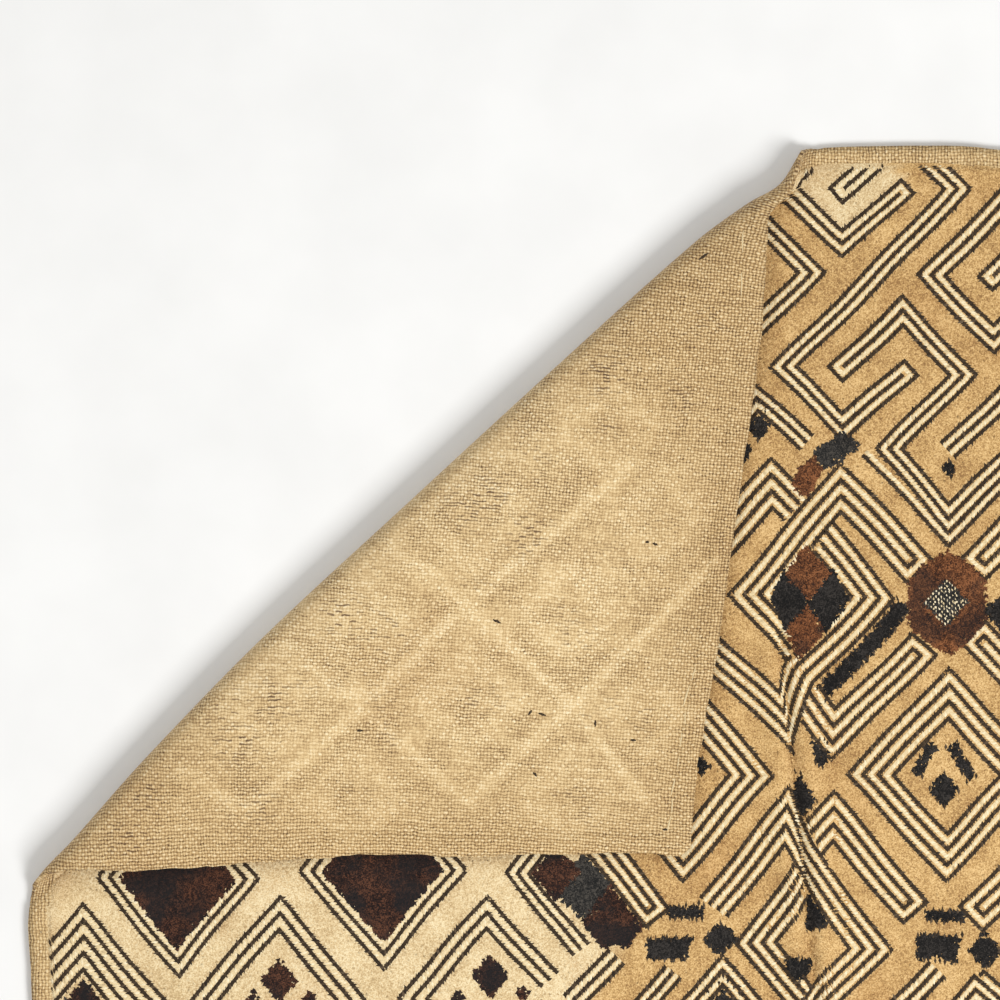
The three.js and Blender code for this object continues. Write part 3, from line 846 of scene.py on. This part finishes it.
def box_grid(corners, step_x, step_y):
    low, high = corners.min(0), corners.max(0)
    return np.meshgrid(np.arange(low[0], high[0], step_x), np.arange(low[1], high[1], step_y))


def pairs(x, y):
    return np.stack([x.ravel(), y.ravel()], 1)


def patch_bed(number, corners):
    """The low sheet under a shape's tufts, from the whole cells of a coarse grid inside it."""
    x, y = box_grid(corners, PATCH_CELL, PATCH_CELL)
    place = pairs(x, y)
    within = (inside_polygon(place, corners) & (owner[cells(place)] == number)).reshape(x.shape)
    whole = within[:-1, :-1] & within[1:, :-1] & within[:-1, 1:] & within[1:, 1:]
    index = np.arange(x.size).reshape(x.shape)
    a, b, c, d = (part[whole] for part in (index[:-1, :-1], index[:-1, 1:], index[1:, 1:], index[1:, :-1]))
    polys = np.concatenate([np.stack([a, b, c], 1), np.stack([a, c, d], 1)])
    used, polys = np.unique(polys, return_inverse=True)
    return hand_drawn(place[used]), polys.reshape(-1, 3)


def work_shape(number, colour, corners):
    """Fills a shape with places for tufts, where nothing lies over it."""
    part, centre = window(corners, 0)
    free = inside_polygon(centre, corners) & (owner[part] == 0)
    owner[part][free] = number
    place = pairs(*box_grid(corners, DARK_STEP_X, DARK_STEP_Y))
    place += rng.normal(0, DARK_JITTER, place.shape)
    place = place[inside_polygon(place, corners)]
    place = place[owner[cells(place)] == number]
    if colour == "checked":
        colour = "slate"
        x, y = box_grid(corners, CHECK_STEP, CHECK_STEP)
        odd = (np.indices(x.shape).sum(0) % 2).astype(bool)
        light = np.stack([x[odd], y[odd]], 1)
        light = light[inside_polygon(light, corners)]
        gathered["c"].append((hand_drawn(light), np.tile(CHECK_WAY, (len(light), 1))))
    dark_places[colour].append(hand_drawn(place + rng.normal(0, DARK_SPREAD, place.shape)))
    dark_beds[colour].append(patch_bed(number, corners))


DRAW_IN = {"black": 0.35}
TOOTH_STEP, TOOTH_JITTER = 1.5, 0.25
TOOTH_WAY = np.array([math.sin(math.radians(BLACK_SLANT)), math.cos(math.radians(BLACK_SLANT))])
TOOTHED_BELOW = 90


def toothed(corners):
    """Upright black stitches along a patch's upper and lower edges."""
    runs = []
    for a, b in zip(corners, np.roll(corners, -1, 0)):
        count = max(int(abs(b[0] - a[0]) / TOOTH_STEP), 1)
        runs.append(a + np.linspace(0, 1, count, endpoint=False)[:, None] * (b - a))
    edge = np.concatenate(runs)
    edge += rng.normal(0, TOOTH_JITTER, edge.shape)
    gathered["b"].append((hand_drawn(edge), np.tile(TOOTH_WAY, (len(edge), 1))))


def drawn_in(colour, corners):
    """A charted shape's outline, less the reach of its outermost stitches."""
    outer = charted(corners)
    after = np.roll(outer, -1, 0)
    turn = np.sign((outer[:, 0] * after[:, 1] - outer[:, 1] * after[:, 0]).sum())
    return offset_path(outer, turn * DRAW_IN.get(colour, 0.0), True)[:-1]


def work_shapes(shapes, number, toothed_below=0):
    """Works shapes in order, numbered from the one after number. Black ones low on the chart get teeth."""
    for number, (colour, corners) in enumerate(shapes, number + 1):
        outer = drawn_in(colour, corners)
        work_shape(number, colour, outer)
        if colour == "black" and corners[0][1] > toothed_below:
            toothed(outer)


work_shapes(OVER_BANDS, 0, TOOTHED_BELOW)
for layer in (0, 1):
    for number, item in enumerate(BANDS, len(OVER_BANDS) + 1):
        work_band(number, item, layer)
work_shapes([(colour, lozenge(*size)) for colour, *size in PATCHES] + BLOCKS, len(OVER_BANDS) + len(BANDS))

# Heights are counted from the pile's nominal top.
PILE_BASE = -0.3
STITCH_FOOT = PILE_BASE - 0.01
STITCH_JITTER = {"turn": 0.13, "place": 0.14, "tone": 0.15}
STITCH_LONG, STITCH_WIDE, STITCH_RISE = (0.72, 1.22), (0.8, 1.2), (0.75, 1.1)
TWIST_TONE = 0.16
STITCH_FACES = np.array([(0, 1, 4), (1, 2, 4), (2, 3, 4), (3, 0, 4)])
STITCH_POINTS = 5


def fan(count, points, faces):
    """The faces of a number of like small forms, each with its own run of points."""
    first = np.arange(count)[:, None] * points
    return np.concatenate([first + face for face in faces])


def stitches(name, kind, half_long, half_wide, slant, tip, mean_tone):
    """Low four-sided points with their long way at a slant to the line, in two objects."""
    place = np.concatenate([p for p, _ in gathered[kind]])
    way = np.concatenate([w for _, w in gathered[kind]])
    keep = shown(place)
    place, way = place[keep], way[keep]
    count = len(place)
    turn = np.radians(slant) + rng.normal(0, STITCH_JITTER["turn"], count)
    c, s = np.cos(turn), np.sin(turn)
    long_way = np.stack([way[:, 0] * c - way[:, 1] * s, way[:, 0] * s + way[:, 1] * c], 1)
    wide_way = np.stack([-long_way[:, 1], long_way[:, 0]], 1)
    place = place + rng.normal(0, STITCH_JITTER["place"], (count, 2))
    length = half_long * rng.uniform(*STITCH_LONG, count)[:, None]
    width = half_wide * rng.uniform(*STITCH_WIDE, count)[:, None]
    rise = rng.uniform(*STITCH_RISE, count)
    corner = np.stack([place + long_way * length, place + wide_way * width, place - long_way * length,
                       place - wide_way * width, place], 1).reshape(-1, 2)
    peak = STITCH_FOOT + (tip - STITCH_FOOT) * rise
    above = np.stack([np.full(count, STITCH_FOOT)] * 4 + [peak], 1).ravel()
    verts = on_face(corner, above).reshape(count, STITCH_POINTS, 3)
    twist = np.where(np.arange(count) % 2 == 0, TWIST_TONE, -TWIST_TONE)
    tone = np.clip(rng.normal(mean_tone, STITCH_JITTER["tone"], count) + twist, 0, 1)
    half = count // 2
    made = []
    for part, (a, b) in enumerate(((0, half), (half, count)), 1):
        polys = fan(b - a, STITCH_POINTS, STITCH_FACES)
        made.append(mesh_object(f"{name}_{part}", verts[a:b].reshape(-1, 3), polys, [strands[kind]],
                                values={"tone": np.repeat(tone[a:b], STITCH_POINTS)}))
    return made


extras = []
extras += stitches("black_stitches", "b", half_long=1.26, half_wide=0.47, slant=BLACK_SLANT, tip=0.12,
                   mean_tone=0.46)
extras += stitches("cream_stitches", "c", half_long=0.92, half_wide=0.42, slant=CREAM_SLANT, tip=0.08,
                   mean_tone=0.78)


def strand_beds(name, kind, above, tone):
    """The lowest strands of each line, as narrow strips under the stitches, in a lower tone that is painted
    shade between the stitches.
    """
    verts, polys, first = [], [], 0
    for edges, free in beds[kind]:
        points = hand_drawn(edges.reshape(-1, 2))
        ok = shown(points).reshape(-1, 2).all(1)
        k = first + 2 * np.flatnonzero(free & ok[:-1] & ok[1:])
        polys.append(np.stack([k, k + 1, k + 3, k + 2], 1))
        verts.append(points)
        first += len(points)
    used, polys = np.unique(np.concatenate(polys), return_inverse=True)
    verts = np.concatenate(verts)[used]
    made = mesh_object(name, on_face(verts, np.full(len(verts), above)), polys.reshape(-1, 4),
                       [strands[kind]], values={"tone": np.full(len(verts), tone)})
    return made


# The beds' tone is lower than the stitches': painted shade in the gaps between them.
extras.append(strand_beds("black_beds", "b", above=PILE_BASE + 0.05, tone=0.3))
extras.append(strand_beds("cream_beds", "c", above=PILE_BASE + 0.03, tone=0.5))

# Tufts of pile are three-sided points.
THIRD_TURN = 2.094
TUFT_SIZE, TUFT_RISE = (0.8, 1.2), (0.6, 1.1)
TUFT_LEAN = 0.16
TUFT_TONE, TUFT_TONE_SPREAD, BED_TONE = 0.5, 0.25, 0.3
TUFT_FACES = np.array([(0, 1, 3), (1, 2, 3), (2, 0, 3)])
TUFT_POINTS = 4


def tufts(name, place, material, radius, low, high, slot, values=None, bed=()):
    count = len(place)
    turn = rng.uniform(0, 2 * math.pi, count)
    size = radius * rng.uniform(*TUFT_SIZE, count)
    turns = [turn + k * THIRD_TURN for k in range(3)]
    corner = [place + np.stack([np.cos(t), np.sin(t)], 1) * size[:, None] for t in turns]
    tip = place + rng.normal(0, TUFT_LEAN, (count, 2))
    points = np.stack(corner + [tip], 1).reshape(-1, 2)
    peak = rng.uniform(*TUFT_RISE, count) * (high - low) + low
    above = np.stack([np.full(count, low)] * 3 + [peak], 1).ravel()
    polys = fan(count, TUFT_POINTS, TUFT_FACES)
    tone = np.repeat(np.clip(rng.normal(TUFT_TONE, TUFT_TONE_SPREAD, count), 0, 1), TUFT_POINTS)
    for bed_points, bed_polys in bed:
        used, bed_polys = np.unique(bed_polys[shown(bed_points)[bed_polys].all(1)], return_inverse=True)
        polys = np.concatenate([polys, bed_polys.reshape(-1, 3) + len(points)])
        points = np.concatenate([points, bed_points[used]])
        above = np.concatenate([above, np.full(len(used), low)])
        tone = np.concatenate([tone, np.full(len(used), BED_TONE)])
    by_point = {key: np.repeat(value, TUFT_POINTS) for key, value in (values or {}).items()}
    made = mesh_object(name, on_face(points, above), polys, [material], values={"tone": tone, **by_point})
    return made


DARK_RADIUS, DARK_FOOT, DARK_TIP = 0.95, PILE_BASE + 0.03, 0.04
slots = {"black": "raffia_black", "slate": "raffia_black", "brown": "raffia_brown", "umber": "raffia_brown"}
for colour, places in dark_places.items():
    place = np.concatenate(places)
    extras.append(tufts(f"{colour}_pile", place[shown(place)], dark_piles[colour], DARK_RADIUS, DARK_FOOT,
                        DARK_TIP, slots[colour], bed=dark_beds[colour]))

# Where the pile changes its tone: painted shade beside the folded corner and in the tuck, cream in the zone
# on the left with its stains, and in the cream lozenge round the upper hook.
CORNER_SIDE_STEPS, CORNER_STRIDE, CORNER_LEFT, CORNER_TOP, FAR = 120, 4, 210, 205, 99.0
CORNER_SHADE, TUCK_SHADE = {"share": 0.6, "reach": 3.6}, {"share": 0.8, "reach": 1.3}
HOOK = {"x": 84.3, "y": 18.0, "half_x": 6.4, "half_y": 6.0, "from": 0.85, "to": 1.05}
ZONE_SOFT, ZONE_WAVE = 2, 3.1
ZONE_STAIN = {"mean": 0.15, "swing": 0.1, "from": 11, "to": 5, "wave_x": 1.9, "wave_y": 2.7, "phase_y": 1.0}


def shade(p):
    """Painted shade on the pile: a contact shadow close beside the folded corner's edges, and shade in the
    tuck's crease.
    """
    t = np.linspace(0, 1, CORNER_SIDE_STEPS)
    near = np.full(len(p), FAR)
    for side in (left_side(LEFT_EDGE[0][0] - CORNER_LEFT * t), top_side(TOP_EDGE[0][0] + CORNER_TOP * t)):
        path = laid(side)[0][:, :2]
        for a, b in zip(path[:-CORNER_STRIDE:CORNER_STRIDE], path[CORNER_STRIDE::CORNER_STRIDE]):
            near = np.minimum(near, segment_distance(p, a, b))
    crease = tuck_strength(p[:, 1]) * bell((p[:, 0] - tuck_x(p[:, 1])) / TUCK_SHADE["reach"])
    beside = CORNER_SHADE["share"] * bell(near / CORNER_SHADE["reach"])
    return np.maximum(beside, TUCK_SHADE["share"] * crease)


def creamy(p):
    """How far the pile is cream and not tan."""
    x, y = chart_place(p)
    off_hook = np.abs(x - HOOK["x"]) / HOOK["half_x"] + np.abs(y - HOOK["y"]) / HOOK["half_y"]
    hook = 1 - smooth(HOOK["from"], HOOK["to"], off_hook)
    wave = np.sin(y / ZONE_STAIN["wave_y"] + ZONE_STAIN["phase_y"]) * np.cos(x / ZONE_STAIN["wave_x"])
    depth = ZONE_STAIN["mean"] + ZONE_STAIN["swing"] * wave
    stained = depth * smooth(ZONE_STAIN["from"], ZONE_STAIN["to"], x)
    edge = x + ZONE_SOFT * np.sin(y / ZONE_WAVE)
    return np.maximum(1 - smooth(ZONE - ZONE_SOFT, ZONE + ZONE_SOFT, edge) - stained, hook)


TUFT_STEP, TUFT_JITTER = 1.12, 0.25
TUFT_RADIUS, TUFT_FOOT, TUFT_TIP = 0.72, PILE_BASE - 0.03, PILE_BASE + 0.22
CROWD_REACH, CROWD_ROUNDS = 2, 2
TUFT_PARTS = 3


def crowding():
    """How much of the ground round each cell the bands and shapes have taken."""
    crowd = (owner > 0).astype(float)
    for axis in (0, 1):
        for _ in range(CROWD_ROUNDS):
            near = range(-CROWD_REACH, CROWD_REACH + 1)
            crowd = sum(np.roll(crowd, k, axis) for k in near) / len(near)
    return crowd


x, y = np.meshgrid(np.arange(-WIDTH / 2, WIDTH / 2, TUFT_STEP), np.arange(-HEIGHT / 2, HEIGHT / 2, TUFT_STEP))
place = pairs(x, y)
place += rng.normal(0, TUFT_JITTER, place.shape)
place = place[owner[cells(place)] == 0]
# Painted shade: the pile is darker where the bands and shapes crowd round it, beside the folded corner and in
# the tuck.
beside = crowding()[cells(place)]
place = hand_drawn(place)
keep = shown(place)
place, beside = place[keep], np.maximum(beside[keep], shade(place[keep]))
shares = zip(np.array_split(place, TUFT_PARTS), np.array_split(beside, TUFT_PARTS))
for part, (chosen, near) in enumerate(shares, 1):
    extras.append(tufts(f"pile_tufts_{part}", chosen, tuft_pile, TUFT_RADIUS, TUFT_FOOT, TUFT_TIP,
                        "raffia_tan", {"cream": creamy(chosen), "beside": near}))

# The panel itself: rows along the fold, columns across it, as one closed thin sheet. Runs are in millimetres,
# or in shares of a short row's length.
ROWS = {"corner": 84, "roll": 26, "near": 66, "far": 50}
COLUMNS = 58
TUCK_COLUMNS = np.array([-9, -7, -5.4, -4, -2.8, -1.8, -0.9, 0, 0.9, 1.8, 2.8, 4, 5.4, 7, 9])
HEM_COLUMNS = np.array([0, 0.5, 0.93, 1.0, 1.26])
SHORT_ROW = {"hem": 0.1, "tuck": 0.07, "tuck_from_end": 0.3}
OUTLINE_STEPS, TRIAL_STEPS = 900, 400
RAGGED = 0.42
RIM_WIDTH, RIM_DROP_FACE, RIM_DROP_BACK = 1.2, 0.35, 0.3
PILED_FROM, PILED_TO = HEM_WIDTH - 0.3, HEM_WIDTH + 1.2
HEM_STEP, HEM_STEP_FROM, HEM_STEP_TO, HEM_STEP_ROLL = 0.3, HEM_WIDTH - 0.2, HEM_WIDTH + 1.4, 10
WOVEN_WIDTH = HEM_WIDTH + 0.3


def outline():
    """The outline's lower left and upper right parts as places in the fold, and where they turn a corner."""
    t = np.linspace(0, 1, OUTLINE_STEPS)
    tables = (LEFT_EDGE, RIGHT_EDGE, TOP_EDGE, BOTTOM_EDGE)
    y_left, y_right, x_top, x_bottom = (table[0][0] + t * (table[-1][0] - table[0][0]) for table in tables)
    bottom = np.stack([x_bottom, -HEIGHT / 2 + bottom_in(x_bottom)], 1)
    right = np.stack([WIDTH / 2 - right_in(y_right), y_right], 1)
    sides = (left_side(y_left), bottom, top_side(x_top), right)
    left, bottom, top, right = (fold_place(side) for side in sides)
    lower = [np.concatenate(v) for v in zip(left, bottom)]
    upper = [np.concatenate(v) for v in zip(top, right)]
    return lower, upper, sorted((left[1][-1], top[1][-1]))


def panel_grid():
    """The panel's flat points, row by row, and the numbers of rows and columns."""
    lower, upper, turns = outline()
    stretches = [(lower[1][0] + CORNER_BLUNT, -ROLL_LENGTH, ROWS["corner"]), (-ROLL_LENGTH, 0, ROWS["roll"]),
                 (0, turns[0], ROWS["near"]), (turns[1], lower[1][-1] - CORNER_BLUNT, ROWS["far"])]
    rows = np.concatenate([np.linspace(a, b, n, endpoint=k > 1) for k, (a, b, n) in enumerate(stretches)])
    ragged = [np.convolve(rng.normal(0, RAGGED, len(rows) + 2), np.ones(3) / 3, "valid") for _ in range(2)]
    ends = []
    for (place, across), rough in zip((lower, upper), ragged):
        order = np.argsort(across)
        ends.append(np.interp(rows, across[order], place[order]) + rough)
    grid = []
    for across, start, end in zip(rows, *ends):
        length = end - start
        trial = np.linspace(start, end, TRIAL_STEPS)
        p = flat_point(trial, np.full(TRIAL_STEPS, across))
        tuck = trial[np.argmin(np.abs(p[:, 0] - tuck_x(p[:, 1])))]
        off_end = SHORT_ROW["tuck_from_end"] * length
        tuck = np.clip(tuck, start + off_end, end - off_end)
        narrowed = min(1, SHORT_ROW["tuck"] * length / TUCK_COLUMNS[-1])
        bundle = tuck + TUCK_COLUMNS * narrowed / ALONG[0]
        hem = HEM_COLUMNS * min(HEM_WIDTH * math.sqrt(2), SHORT_ROW["hem"] * length)
        before = np.linspace(start + hem[-1], bundle[0], COLUMNS, endpoint=False)
        after = np.linspace(bundle[-1], end - hem[-1], COLUMNS + 1)[1:]
        grid.append(np.concatenate([start + hem[:-1], before, bundle, after, (end - hem[:-1])[::-1]]))
    along = np.array(grid)
    return flat_point(along.ravel(), np.repeat(rows, along.shape[1])), along.shape


def panel_faces(n_rows, n_cols):
    """The face's quads and the rim's. The back's points are numbered after all of the face's."""
    index = np.arange(n_rows * n_cols).reshape(n_rows, n_cols)
    quads = np.stack([index[:-1, :-1], index[1:, :-1], index[1:, 1:], index[:-1, 1:]], -1).reshape(-1, 4)
    loop = np.concatenate([index[0], index[1:, -1], index[-1, -2::-1], index[-2:0:-1, 0]])
    after = np.roll(loop, -1)
    return quads, np.stack([loop, after, after + index.size, loop + index.size], 1)


# Painted highlights and shade of the faint bands on the woven back, and its dashes, with spreads in
# millimetres for bands and in squares for the rest.
BAND_GLOW = {"spread": 2.3, "flank_spread": 8.5, "flank_share": 0.4}
LOZENGE_GLOW = {"share": 0.4, "spread": 1.5, "dash_share": 0.75, "dash_spread": 1.7}
DASH_SPREAD = 2.4
# Ramps: a share, and where it starts and ends in millimetres.
EDGE_WEAR = [(0.45, 2, 14), (0.55, 10, 38)]
END_WEAR = [(1.0, 30, 110), (0.8, -60, -130)]
FACE_WEAR = 0.7
ROLL_SHADE, ROLL_SHADE_IN, ROLL_SHADE_OUT = 0.7, (-12, 4), (0.5, -2)
NOTCH = {"hem": 0.2, "corner": 0.17, "more": 0.13, "from": -30, "to": 70}
BACK_SHIFT = (0.3, 0.45)


def back_marks(plan):
    """Painted highlights along the faint bands and lozenges, less painted shade on the bands' flanks, and the
    groups of dashes, at points of the laid cloth.
    """
    ghost, flank, dashes = np.zeros((3, len(plan)))
    for points in BACK_BANDS:
        path = charted(points)
        for a, b in zip(path[:-1], path[1:]):
            far = segment_distance(plan, a, b)
            ghost = np.maximum(ghost, bell(far / BAND_GLOW["spread"]))
            flank = np.maximum(flank, bell(far / BAND_GLOW["flank_spread"]))
    for x, y, half in BACK_LOZENGES:
        off = np.abs(plan - charted([(x, y)])).sum(1) / SQUARE
        ghost = np.maximum(ghost, LOZENGE_GLOW["share"] * bell((off - half) / LOZENGE_GLOW["spread"]))
        dashes = np.maximum(dashes, LOZENGE_GLOW["dash_share"] * bell(off / LOZENGE_GLOW["dash_spread"]))
    for spot in BACK_DASHES:
        off = np.linalg.norm(plan - charted([spot]), axis=1)
        dashes = np.maximum(dashes, bell(off / (DASH_SPREAD * SQUARE)))
    return ghost - BAND_GLOW["flank_share"] * flank, dashes


def panel_values(flat_grid, inset):
    """What the panel's materials read at each point."""
    along, across = fold_place(flat_grid)
    on_corner = across < -ROLL_LENGTH
    ghost, dashes = back_marks(laid(flat_grid)[0][:, :2])
    rolled = smooth(*(v - ROLL_LENGTH for v in ROLL_SHADE_IN), across) * smooth(*ROLL_SHADE_OUT, across)
    edge = 1 - sum(share * smooth(a, b, inset) for share, a, b in EDGE_WEAR)
    for share, a, b in END_WEAR:
        edge = np.maximum(edge, share * smooth(a, b, along))
    notch = NOTCH["corner"] + NOTCH["more"] * smooth(NOTCH["from"], NOTCH["to"], along)
    return {"ghost": ghost * on_corner, "dashes": dashes * on_corner, "roll": ROLL_SHADE * rolled,
            "edge": edge * np.where(across < 0, 1, FACE_WEAR), "cream": creamy(flat_grid),
            "square": np.where(on_corner, notch, NOTCH["hem"])}


def build_panel():
    flat_grid, shape = panel_grid()
    inset = inside_edge(flat_grid)
    rim_side = inset < RIM_WIDTH
    piled = smooth(PILED_FROM, PILED_TO, inset)
    face = on_face(flat_grid, PILE_BASE * piled - RIM_DROP_FACE * rim_side)
    hem = 1 - smooth(HEM_STEP_FROM, HEM_STEP_TO, inset)
    on_corner = smooth(0, HEM_STEP_ROLL, -fold_place(flat_grid)[1])
    back = on_back(flat_grid, HEM_STEP * hem * on_corner - RIM_DROP_BACK * rim_side)
    quads, rim = panel_faces(*shape)
    polys = np.concatenate([quads, quads[:, ::-1] + len(flat_grid), rim])
    woven_face = inset[quads].mean(1) < WOVEN_WIDTH
    index = np.concatenate([woven_face, np.ones(len(quads) + len(rim), bool)]).astype(int)
    values = {key: np.tile(value, 2) for key, value in panel_values(flat_grid, inset).items()}
    uv = np.concatenate([flat_grid, flat_grid + BACK_SHIFT]) * MM
    verts = np.concatenate([face, back])
    return mesh_object("raffia_panel_cloth", verts, polys, [pile, woven], values, index, uv)


panel = build_panel()

# Running stitches of the hem and dark flecks on the back of the folded corner, charted where they lie:
# place, half length, degrees from upright.
HEM_STITCHES = [(74.2, 24.2, 1.2, 3), (74.1, 28.4, 1.4, 2), (69.4, 67.2, 1.0, 14), (68.6, 69.6, 1.1, 16),
                (68.5, 71.9, 0.9, 2), (68.1, 74.0, 0.8, 4), (67.8, 76.2, 0.9, 8), (67.3, 78.6, 0.9, 14),
                (67.2, 80.6, 0.8, 4), (66.9, 82.3, 0.8, 12)]
FLECKS = [(49.7, 62.1, 0.45, 115), (36.0, 73.0, 0.3, 85), (53.0, 71.2, 0.32, 35), (54.2, 71.4, 0.4, 105),
          (64.7, 54.2, 0.2, 90), (65.5, 54.4, 0.28, 110), (59.5, 72.3, 0.32, 0), (63.3, 74.0, 0.28, 90),
          (53.5, 77.4, 0.28, 135), (70.3, 25.7, 0.6, 55), (66.5, 82.9, 0.28, 90)]
LANE = 7
SLIVER_JITTER, SLIVER_SUNK, SLIVER_TOP, SLIVER_END, SLIVER_TONE = 0.06, -0.05, 0.06, 0.45, 0.5


def slivers(name, table, half_wide, rise, material):
    """Thin ridges of three lanes of points, tapered to their ends, on the back of the folded corner."""
    verts, polys = [], []
    t = np.linspace(0, 1, LANE)
    arch = np.sin(math.pi * t)
    thin = (SLIVER_END + (1 - SLIVER_END) * arch)[:, None]
    sunk = np.full(LANE, SLIVER_SUNK)
    k = np.arange(LANE - 1)
    for x, y, half_long, lean in table:
        way = np.array([math.sin(math.radians(lean)), math.cos(math.radians(lean))])
        side = np.array([way[1], -way[0]]) * half_wide
        middle = charted([(x, y)]) + ((2 * t - 1) * half_long * SQUARE)[:, None] * way
        middle += rng.normal(0, SLIVER_JITTER, (LANE, 2))
        lanes = []
        for off, above in ((-1, sunk), (0, SLIVER_TOP + rise * arch), (1, sunk)):
            along, across = fold_place(middle + off * side * thin)
            lanes.append(on_back(flat_point(along, -across - ROLL_LENGTH), above))
        for lane in (0, LANE):
            first = 3 * LANE * len(verts) + lane + k
            polys.append(np.stack([first, first + 1, first + LANE + 1, first + LANE], 1))
        verts.append(np.concatenate(lanes))
    verts = np.concatenate(verts)
    tone = np.full(len(verts), SLIVER_TONE)
    made = mesh_object(name, verts, np.concatenate(polys), [material], {"tone": tone})
    return made


extras.append(slivers("hem_stitches", HEM_STITCHES, half_wide=0.32, rise=0.3, material=strands["c"]))
extras.append(slivers("dark_flecks", FLECKS, half_wide=0.5, rise=0.12, material=strands["b"]))

for piece in [panel, *extras]:
    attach(piece, "root")
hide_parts("raffia_panel")

# Floor, lights and camera. Places of lights and camera are in metres.
FLOOR_HALF, FLOOR_LEVEL = 4000, -0.4
PAPER_NOISE = 30
PAPER_TONES = [(0.3, (0.80, 0.80, 0.79)), (0.7, (0.84, 0.84, 0.83))]
LIT_PLACE = (-0.1, 0.1, 0)
WORLD_COLOUR, WORLD_STRENGTH = (1.0, 0.99, 0.97, 1), 0.45
VIEW_CENTRE = (-0.1434, 0.1685)
VIEW_WIDTH, CAMERA_HEIGHT, SENSOR_WIDTH = 0.3, 1.6, 36
CLOTH_TOP = 0.004

paper = Shader("pale paper", roughness=0.9)
paper.finish(paper.ramp(paper.noise(paper.place(), PAPER_NOISE, 3), PAPER_TONES))
CORNERS = ((-1, -1), (1, -1), (1, 1), (-1, 1))
floor_points = [(x * FLOOR_HALF, y * FLOOR_HALF, FLOOR_LEVEL) for x, y in CORNERS]
floor = mesh_object("floor", floor_points, [(0, 1, 2, 3)], [paper.material])


def area_light(name, place, size, energy):
    data = bpy.data.lights.new(name, "AREA")
    data.size, data.energy = size, energy
    light = bpy.data.objects.new(name, data)
    bpy.context.scene.collection.objects.link(light)
    light.location = place
    way = np.array(LIT_PLACE) - np.array(place)
    tilt = math.acos(-way[2] / np.linalg.norm(way))
    light.rotation_euler = (tilt, 0, math.atan2(way[1], way[0]) - math.pi / 2)
    light.visible_camera = False


area_light("key light", (0.75, -0.75, 1.15), size=0.7, energy=24)
area_light("fill light", (-0.9, 0.9, 1.6), size=1.6, energy=12)
world = bpy.data.worlds.new("studio")
world.use_nodes = True
world.node_tree.nodes["Background"].inputs["Color"].default_value = WORLD_COLOUR
world.node_tree.nodes["Background"].inputs["Strength"].default_value = WORLD_STRENGTH
bpy.context.scene.world = world
bpy.context.scene.view_settings.view_transform = "Standard"

camera_data = bpy.data.cameras.new("camera")
camera_data.sensor_width = SENSOR_WIDTH
camera_data.lens = SENSOR_WIDTH * CAMERA_HEIGHT / VIEW_WIDTH
camera = bpy.data.objects.new("camera", camera_data)
bpy.context.scene.collection.objects.link(camera)
camera.location = (*VIEW_CENTRE, CAMERA_HEIGHT + CLOTH_TOP)
bpy.context.scene.camera = camera
